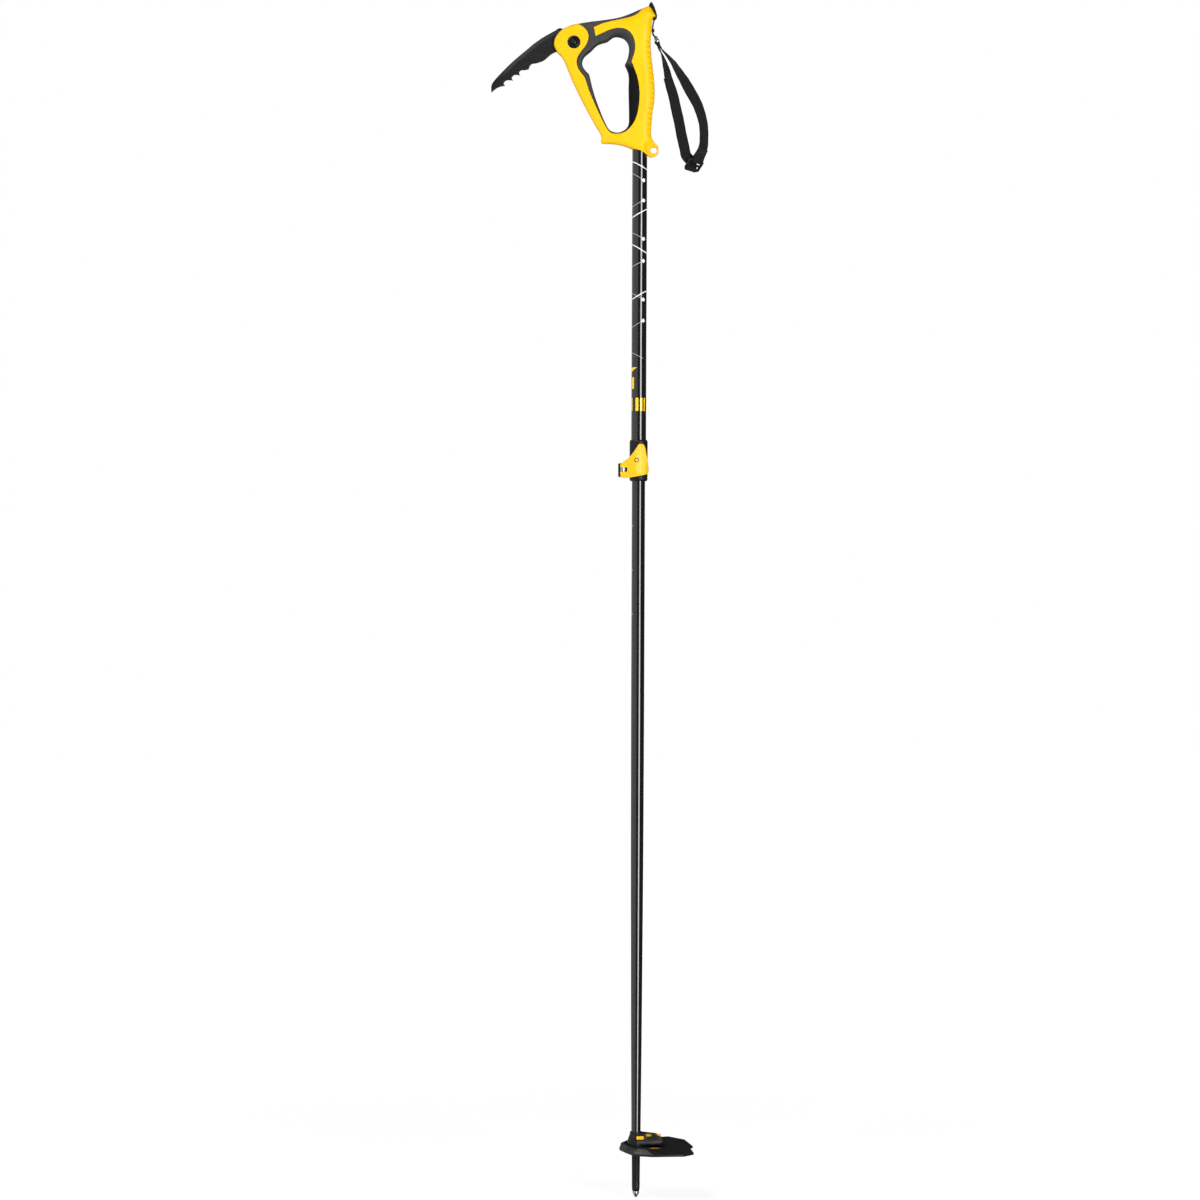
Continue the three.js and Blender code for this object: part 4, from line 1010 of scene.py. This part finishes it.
def around_bar(height, start, end):
    turn = np.radians(np.linspace(start, end, 6))
    return np.column_stack([WRAP * np.cos(turn), height + WRAP * np.sin(turn)])


def strap_path():
    sewn = band(REAR_BAND[:2], REAR_TWIST[:2], LAYER_GAP)[::-1]
    top_wrap = at_buckle(1.2, around_bar(BAR_REACH, 190, 350))
    link_wrap = band(LINK_BAR + 2.1 * arc([0, 0], 1, 8, 190, 7), np.zeros(8))
    lower_wrap = at_buckle(-1.2, [[6.6, 1.0], [4.0, -1.0], [1.6, -2.6], [-0.3, -3.7],
                                  *around_bar(-BAR_REACH, 150, 365), [3.4, -4.2], [5.0, -2.3], [7.7, -0.2]])
    tail = band(FRONT_BAND[TAIL_END:], FRONT_TWIST[TAIL_END:], LAYER_GAP)[::-1]
    rows = [sewn, top_wrap, band(REAR_BAND, REAR_TWIST), link_wrap, band(FRONT_BAND, FRONT_TWIST),
            lower_wrap, tail]
    return smooth_run(np.vstack(rows), 0.9)


def strap():
    rows = strap_path()
    centre, width = rows[:, :3], rows[:, 3:]
    along = unit(np.gradient(centre, axis=0))
    width = unit(width - along * (width * along).sum(1)[:, None])
    face = np.cross(width, along)
    lengths = along_lengths(centre)
    half, thick = WEBBING_WIDTH / 2, WEBBING_THICKNESS / 2
    columns = np.array([-1, -0.97, -0.9, -0.6, -0.3, 0, 0.3, 0.6, 0.9, 0.97, 1]) * half
    rise = thick * np.array([0.35, 0.85, 1, 0.96, 0.96, 0.96, 0.96, 0.96, 1, 0.85, 0.35])
    section = np.vstack([np.column_stack([columns, rise]), np.column_stack([columns[::-1], -rise[::-1]])])
    n, count = len(section), len(centre)
    wave = 0.16 * np.sin(lengths * 0.21) + 0.1 * np.sin(lengths * 0.53 + 1)
    cup = (section[:, 0] / half) ** 2
    vertices = (centre[:, None] + section[None, :, :1] * width[:, None]
                + (section[None, :, 1:] + wave[:, None, None] * cup[None, :, None]) * face[:, None])
    faces = ring_faces(count, n)
    faces += [tuple(range(n))[::-1], tuple(range((count - 1) * n, count * n))]
    share = np.tile(section[:, 0] / WEBBING_WIDTH + 0.5, count)
    uvs = np.column_stack([share, np.repeat(lengths, n)])
    piece = new_piece("wrist_strap", vertices.reshape(-1, 3), faces, UP_HANDLE, 60, uvs)
    finish_piece(piece, WEBBING, "strap", "strap_webbing", "strap_tail")
    stitches(centre, width, face, lengths)


def stitches(centre, width, face, lengths):
    """Bar tacks through the sewn layers, under the link and over the buckle: short raised threads."""
    loop = np.argmax(centre[:, 2])
    rows = [np.argmin(np.abs(lengths - place)) for place in
            (3, 4.5, 6, 7.5, lengths[loop] + 11, lengths[loop] + 12.5, lengths[loop] - 11)]
    threads = []
    for row in rows:
        for step in np.arange(-5.4, 5.5, 1.8):
            middle = centre[row] + width[row] * step
            for sign in (-1, 1):
                lift = face[row] * sign * (WEBBING_THICKNESS / 2 + 0.05)
                ends = [middle - width[row] * 0.75 + lift * 0.8, middle + lift * 1.3,
                        middle + width[row] * 0.75 + lift * 0.8]
                threads.append(smooth_run(ends, 0.3))
    made = [tube("stitch", path, 0.16, 6, UP_HANDLE) for path in threads]
    piece = joined("strap_stitches", made)
    finish_piece(piece, CORD, "strap")


def joined(name, made):
    """One mesh object from several."""
    build = bmesh.new()
    for piece in made:
        build.from_mesh(piece.data)
        bpy.data.objects.remove(piece)
    mesh = bpy.data.meshes.new(name)
    build.to_mesh(mesh)
    build.free()
    piece = bpy.data.objects.new(name, mesh)
    bpy.context.scene.collection.objects.link(piece)
    return smooth(piece, 50)


def rounded(width, height, radius, centre=(0, 0)):
    """A rectangle with round corners."""
    x, z = width / 2 - radius, height / 2 - radius
    corners = [([x, z], 0), ([-x, z], 90), ([-x, -z], 180), ([x, -z], 270)]
    loops = [arc(np.array(corner) + centre, radius, start, start + 90, 8) for corner, start in corners]
    return closed(*[straight_run(loop, 0.6) for loop in loops])


def strap_buckle():
    rim = rounded(22, 15.4, 2.4)
    slots = [rounded(16.2, 3.3, 0.8, (0, side * BAR_REACH / 2)) for side in (-1, 1)]

    def half(points):
        edges = np.min([distance(points, loop) for loop in (rim, *slots)], 0)
        return 1.35 - round_off(edges, 0.8, 0.8)

    piece = plate("strap_slider", rim, half, slots, fine=0.4, coarse=0.8, edge=1.2, offset=(0, 0, 0))
    centre = BUCKLE_CENTRE + UP_HANDLE
    turn = Matrix(BUCKLE_AXES.tolist()).transposed().to_4x4()
    piece.data.transform(Matrix.Translation(Vector(centre) * MM) @ turn)
    finish_piece(piece, BLACK, "strap", "strap_buckle")


# Shaft
UPPER_TUBE = (891.0, 1423.7)
LOWER_TUBE = (70.0, 1000.0)
LOWER_TAPER = smooth_run([[5.55, 70], [5.92, 118], [6.5, 191], [6.98, 264], [7.37, 337], [7.68, 410],
    [7.84, 484], [7.93, 557], [8, 605]], 20)


def shaft():
    low, high = UPPER_TUBE
    upper = lathe("upper_shaft", [[8.3, low], [8.85, low], [9, low + 0.15], [9, high - 0.15],
                                  [8.85, high], [8.3, high]], 128)
    finish_piece(upper, UPPER_LACQUER, "root", "upper_tube")
    low, high = LOWER_TUBE
    outer = [*LOWER_TAPER, [8, high - 0.15], [7.85, high]]
    inner = [[7.2, high], *(LOWER_TAPER - [0.8, 0])[::-1]]
    lower = lathe("lower_shaft", [*outer, *inner], 128)
    finish_piece(lower, LOWER_LACQUER, "lower_section", "lower_tube")


# Clamp
LEVER_PIVOT = (-18.8, -10.0)
LEVER_PIVOT_Z = 885.5
LEVER_FACE = closed(smooth_run([[-22.3, 891.4], [-22.6, 885], [-22.2, 878.8], [-20.9, 876.4],
    [-17.9, 875.3], [-10.6, 876], [-2.1, 877.3], [6, 879], [10.2, 880.6], [12.1, 883], [12.2, 888]], 0.5),
    smooth_run([[12.2, 888], [11.2, 896], [9.8, 903.8], [8.8, 909.4], [7.6, 913.6], [6.4, 916],
    [4.2, 916.9], [1.4, 916.8], [-0.4, 915.9], [-3.3, 911.1], [-6.9, 906.2], [-10.2, 902], [-13, 899.2],
    [-17.9, 895.6], [-20.6, 893.9], [-22.3, 891.4]], 0.5))
LEVER_PLAN = [[-17, -12.9], [-3, -16], [2.6, -15], [8, -12.9], [10.4, -10.6], [11.7, -7.6], [12.2, -4.2]]
HEEL_END = -9.5  # the x where the lever's heel ends and its hollow over the collar starts
LEVER_BACK = [[-17.6, -6.4], [-14.6, -7], [HEEL_END, -6.65]]
CAM_RADIUS = 4.0
HINGE_HOLE = (1.8, 860, 910)  # radius, bottom and top
COLLAR_CLEARANCE_RADIUS = 11.6


def clamp_lever():
    plan, back_line = np.array(LEVER_PLAN), np.array(LEVER_BACK)

    def cam(x):
        return np.sqrt(np.maximum(CAM_RADIUS**2 - np.minimum(x - LEVER_PIVOT[0], 0) ** 2, 0.3))

    def half(points):
        x, z = points.T
        shell = -np.interp(x, plan[:, 0], plan[:, 1])
        shell = np.where(x < LEVER_PIVOT[0], np.minimum(shell, cam(x) - LEVER_PIVOT[1]), shell)
        edge = distance(points, LEVER_FACE)
        rim = 0.5 * (1 - smoothstep(1.3, 2.1, edge)) * smoothstep(-10, -5, x)
        taper = 2.0 * smoothstep(893, 917, z)
        return shell + rim - taper - round_off(edge, 1.0, 0.9)

    def back(points):
        x = points[:, 0]
        hollow = -np.sqrt(np.maximum(COLLAR_CLEARANCE_RADIUS**2 - x**2, 4.0))
        heel = np.interp(x, back_line[:, 0], back_line[:, 1])
        heel = np.where(x < LEVER_PIVOT[0], LEVER_PIVOT[1] + cam(x), heel)
        return np.maximum(np.where(x < HEEL_END, heel, hollow), 0.9 - half(points))

    ridge = np.column_stack([np.full(50, -3.0), np.linspace(879, 908, 50)])
    creases = np.vstack([beside(LEVER_FACE, 1.3), beside(LEVER_FACE, 2.1), ridge])
    piece = plate("flip_lever", LEVER_FACE, half, back=back, fine=0.45, coarse=0.9, edge=3,
                  offset=(0, 0, 0), sharp=14, creases=creases)
    fork = block("fork", [-40, -30, LEVER_PIVOT_Z - 2.6], [-13.9, 0, LEVER_PIVOT_Z + 2.6], 0.5)
    pin = cylinder("pin", *HINGE_HOLE, 40, (*LEVER_PIVOT, 0))
    combine(piece, [fork, pin], sharp=14)
    finish_piece(piece, LEVER_YELLOW, "lever", "clamp_lever")


def clamp_collar():
    profile = [[8.4, 872], [9.6, 872], [10, 872.2], [10.9, 873.6], [11, 874], [11, 919.6], [10.9, 920.2],
               [10.3, 921.7], [9.9, 922], [9.4, 922], [9.3, 921.8], [9.3, 890.7], [8.4, 890.7]]
    collar = lathe("shaft_collar", profile, 128)
    ears = block("ears", [-24.8, -4.5, 877], [-9.0, 4.5, 893.5], 1.2)
    combine(collar, [ears], "UNION")
    slit = block("slit", [-60, -0.8, 860], [-7.5, 0.8, 930], 0)
    bolt = cylinder("bolt_space", 2.3, -30, 30)
    combine(collar, [slit, face_front(bolt, (LEVER_PIVOT[0], LEVER_PIVOT_Z - HANDLE_BASE))])
    finish_piece(collar, BLACK, "root", "clamp_collar")

    def lobes(turns, radii, heights):
        return radii - np.where(radii > 4.2, 0.55 * np.abs(np.sin(5 * turns)) ** 3, 0)

    nut = lathe("knurled_nut", [[2.3, -8.8], [3.9, -8.8], [4.6, -8.3], [4.75, -7.8], [4.75, -5.6],
                                [4.3, -4.9], [2.3, -4.9]], 120, lobes)
    face_front(nut, (LEVER_PIVOT[0], LEVER_PIVOT_Z - HANDLE_BASE))
    finish_piece(nut, STEEL, "nut", "tension_nut")


def clamp_hardware():
    across = LEVER_PIVOT_Z - HANDLE_BASE
    rod = lathe("bolt_rod", [[0, -9.6], [1.75, -9.6], [2, -9.35], [2, 8.2], [0, 8.2]], 48)
    face_front(rod, (LEVER_PIVOT[0], across))
    eye = lathe("bolt_eye", [[0, 883.3], [3.2, 883.3], [3.4, 883.5], [3.4, 887.5], [3.2, 887.7], [0, 887.7]],
                64, None, (*LEVER_PIVOT, 0))
    combine(eye, [rod], "UNION")
    hole = cylinder("bolt_hole", *HINGE_HOLE, 40, (*LEVER_PIVOT, 0))
    combine(eye, [hole])
    finish_piece(eye, STEEL, "root", "clamp_bolt")
    pin = lathe("hinge_pin", [[0, 876.4], [1.3, 876.4], [1.5, 876.6], [1.5, 894.2], [1.3, 894.4], [0, 894.4]],
                48, None, (*LEVER_PIVOT, 0))
    finish_piece(pin, STEEL, "root", "lever_pin")


# Basket and tip
# The dish's rim, then the crest where its flat top folds down to the rim, as [x, y, z]
BASKET_RIM = [[65.2, 5, 59.5], [70, 20, 57.8], [60, 33, 64], [40, 38, 67], [14, 34, 66], [-8, 26, 65],
    [-18, 12, 63], [-20.3, -4, 59], [-14, -18, 58.2], [-3, -28, 55.6], [21, -34, 55.2], [57, -34, 55.8],
    [70, -20, 56.2]]
BASKET_CREST = [[38, 3, 65.8], [46, 12, 64.6], [42, 22, 66.4], [30, 26, 67.6], [13, 25, 67.4],
    [-4, 19, 67.6], [-12.5, 9, 67.2], [-14.5, -3, 65.2], [-9.5, -13, 64.4], [-0.5, -24.5, 62.5],
    [12, -28.5, 62.6], [31, -24, 62.6], [50, -12, 61.2]]
DISC_THICKNESS = 2.6
DISC_HOLE_RADIUS = 10.5
HOUSING = [[3, 64.8], [30, 64.8], [33, 68.4], [30.2, 74.4], [23.8, 77], [9, 78.6], [3, 78.6]]


def basket():
    rim, crest = np.array(BASKET_RIM, float), np.array(BASKET_CREST, float)
    reach = np.linalg.norm(rim[:, :2], axis=1, keepdims=True)
    inner = np.hstack([rim[:, :2] * DISC_HOLE_RADIUS / reach, np.full((len(rim), 1), 62.6)])
    down = np.array([0, 0, -DISC_THICKNESS])
    rings = [inner, crest, rim - down / 2, rim + down / 2, crest + down, inner + down]
    n, m = len(rim), len(rings)
    faces = []
    for k in range(n):
        for r in range(m):
            a, b = r * n + k, r * n + (k + 1) % n
            c, d = (r + 1) % m * n + (k + 1) % n, (r + 1) % m * n + k
            faces += [(a, b, c), (a, c, d)] if k % 2 else [(a, b, d), (b, c, d)]
    disc = bevelled(new_piece("basket_dish", np.vstack(rings), faces, sharp=5), 0.3, 2, 6, 20)
    finish_piece(disc, DISH, "basket", "basket_disc")
    hub = lathe("hub", [[6, 58], [9.3, 58], [10.4, 64], [10.5, 67], [9.6, 71.4], [8.4, 75], [7.6, 76],
                        [7.5, 79.2], [7.1, 80], [6, 80.1]], 96)
    housing = bevelled(prism("housing", HOUSING, -9, 9, (0, 0, 0)), 0.9)
    lip = block("window_lip", [-0.6, -10.6, 70], [10.3, -6, 76.8], 0.5)
    combine(hub, [housing, lip], "UNION")
    cuts = [
        block("channel", [12, -3.5, 71], [60, 3.5, 90], 0),
        block("window", [0.2, -20, 71], [9.5, -7.8, 76], 0),
        block("notch", [12.4, -20, 74.4], [18.8, 0, 90], 0),
        cylinder("bore", 6, 50, 90),
    ]
    combine(hub, cuts)
    finish_piece(bevelled(hub, 0.18, 2), BLACK, "basket", "basket_hub")
    top = block("top_insert", [12.3, -3.2, 71.3], [30.5, 3.2, 76.4], 0.6)
    front = block("front_insert", [0.5, -10.4, 71.3], [9.2, -8.1, 75.7], 0.4)
    finish_piece(top, YELLOW, "basket", "basket_insert_top")
    finish_piece(front, YELLOW, "basket", "basket_insert_front")


def tip():
    def ribbed(turns, radii, heights):
        ribs = (heights > 20) & (heights < 60) & (radii > 4.6)
        return radii - 0.1 * ribs * (0.5 + 0.5 * np.cos(12 * turns))

    outside = smooth_run([[4.4, 8.3], [4.75, 12], [4.95, 28], [5.1, 45], [5.3, 69.4]], 3)
    sleeve = [[2.6, 8], [4.15, 8], *outside, [5.2, 69.7], [4.4, 69.7], [4.4, 92], [2.9, 92], [2.9, 27],
              [2.6, 27]]
    finish_piece(lathe("ferrule", sleeve, 96, ribbed), BLACK, "lower_section", "tip_ferrule")

    def fluted(turns, radii, heights):
        flutes = smoothstep(0.2, 2.5, heights) * (1 - smoothstep(4.2, 5.2, heights))
        return radii * (1 - 0.2 * flutes * np.abs(np.sin(3 * turns)) ** 1.5)

    cone = smooth_run([[1.2, 0.15], [1.7, 1], [2.4, 2.2], [3.1, 3.4], [3.7, 4.4], [3.9, 5]], 0.3)
    point = [[0, 0.5], [0.8, 0.15], *cone, [3.9, 7.4], [3.7, 7.7], [2.3, 7.7], [2.3, 25], [0, 25]]
    finish_piece(lathe("carbide_tip", point, 96, fluted, sharp=20), STEEL, "lower_section", "steel_tip")


# CAD pieces that show as they are
KEPT = {
    "pick_washer_front": STEEL, "pick_washer_back": STEEL,
    "pivot_barrel": STEEL, "button_spring": STEEL,
    "clip_screw": STEEL, "top_plug": BLACK,
    "thrust_pad": BLACK, "inner_guide": BLACK,
}


def dress_kept_nodes():
    for name, (material, slot) in KEPT.items():
        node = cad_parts[name]
        node.data.materials.clear()
        node.data.materials.append(material)
        smooth(node, 30)


# Floor, lights and sky
FLOOR_RADIUS = 10000
FLOOR_DROP = 0.2  # how far the floor lies under the height that the tip stands at
GLOW_NEAR, GLOW_FAR = 500, 3500  # where the floor's own light starts and stops growing
# Each light's name, then its place, aim and size in metres, its watts, and whether gloss mirrors it
LIGHTS = [
    ("strip", (1.29, -2.14, 0.75), (0, 0, 0.75), (0.88, 3.2), 66, True),
    ("key", (-1.5, -1.5, 3.2), (0, 0, 1.2), (1.2, 1.2), 30, True),
    ("front", (-0.4, -3.6, 1.4), (0, 0, 0.9), (1.6, 1.6), 18, False),
    ("back", (0.5, 3.6, 1.6), (0, 0, 0.9), (1.6, 1.6), 16, False),
]


def area_light(name, place, target, size, power, mirrored):
    data = bpy.data.lights.new(name, "AREA")
    data.shape = "RECTANGLE"
    data.size, data.size_y = size
    data.energy = power
    light = bpy.data.objects.new(name, data)
    bpy.context.scene.collection.objects.link(light)
    aim = Vector(target) - Vector(place)
    light.matrix_world = Matrix.Translation(place) @ aim.to_track_quat("-Z", "Y").to_matrix().to_4x4()
    light.visible_glossy, light.visible_camera = mirrored, False


def studio():
    tree = bpy.data.worlds.new("sky")
    bpy.context.scene.world = tree
    tree.use_nodes = True
    nodes, links = tree.node_tree.nodes, tree.node_tree.links
    direction = nodes.new("ShaderNodeSeparateXYZ")
    links.new(nodes.new("ShaderNodeTexCoord").outputs["Generated"], direction.inputs[0])
    side = nodes.new("ShaderNodeMapRange")
    side.interpolation_type = "SMOOTHSTEP"
    for socket, number in zip(("From Min", "From Max", "To Min", "To Max"), (-0.2, -0.5, 0.05, 0.6)):
        side.inputs[socket].default_value = number
    links.new(direction.outputs["X"], side.inputs["Value"])
    seen = nodes.new("ShaderNodeMix")
    links.new(nodes.new("ShaderNodeLightPath").outputs["Is Camera Ray"], seen.inputs["Factor"])
    links.new(side.outputs["Result"], seen.inputs[2])
    seen.inputs[3].default_value = 1.0
    links.new(seen.outputs[0], nodes["Background"].inputs["Strength"])
    nodes["Background"].inputs["Color"].default_value = (1, 1, 1, 1)
    edge = arc([0, 0], FLOOR_RADIUS, 0, 354, 59)
    floor = new_piece("floor", np.insert(edge, 2, -FLOOR_DROP, axis=1), [tuple(range(60))])
    look = Look("floor", 0.9)
    look.colour(look.blend(look.noise(3, 2), (0.34, 0.34, 0.34), (0.36, 0.36, 0.36)))
    x, y, _ = look.axes()
    away = look.length(x, y)
    look.shader.inputs["Emission Color"].default_value = (1, 1, 1, 1)
    look.link(look.ramp(away, GLOW_NEAR, GLOW_FAR, 0.8, 1.02), look.shader.inputs["Emission Strength"])
    floor.data.materials.append(look.material)
    floor.visible_glossy = False
    for light in LIGHTS:
        area_light(*light)
    bpy.context.scene.view_settings.view_transform = "Standard"


grip_frame()
grip_overmould()
pick()
pivot_pieces()
rear_clip()
cord_and_link()
strap()
strap_buckle()
shaft()
clamp_collar()
clamp_lever()
clamp_hardware()
basket()
tip()
dress_kept_nodes()
studio()
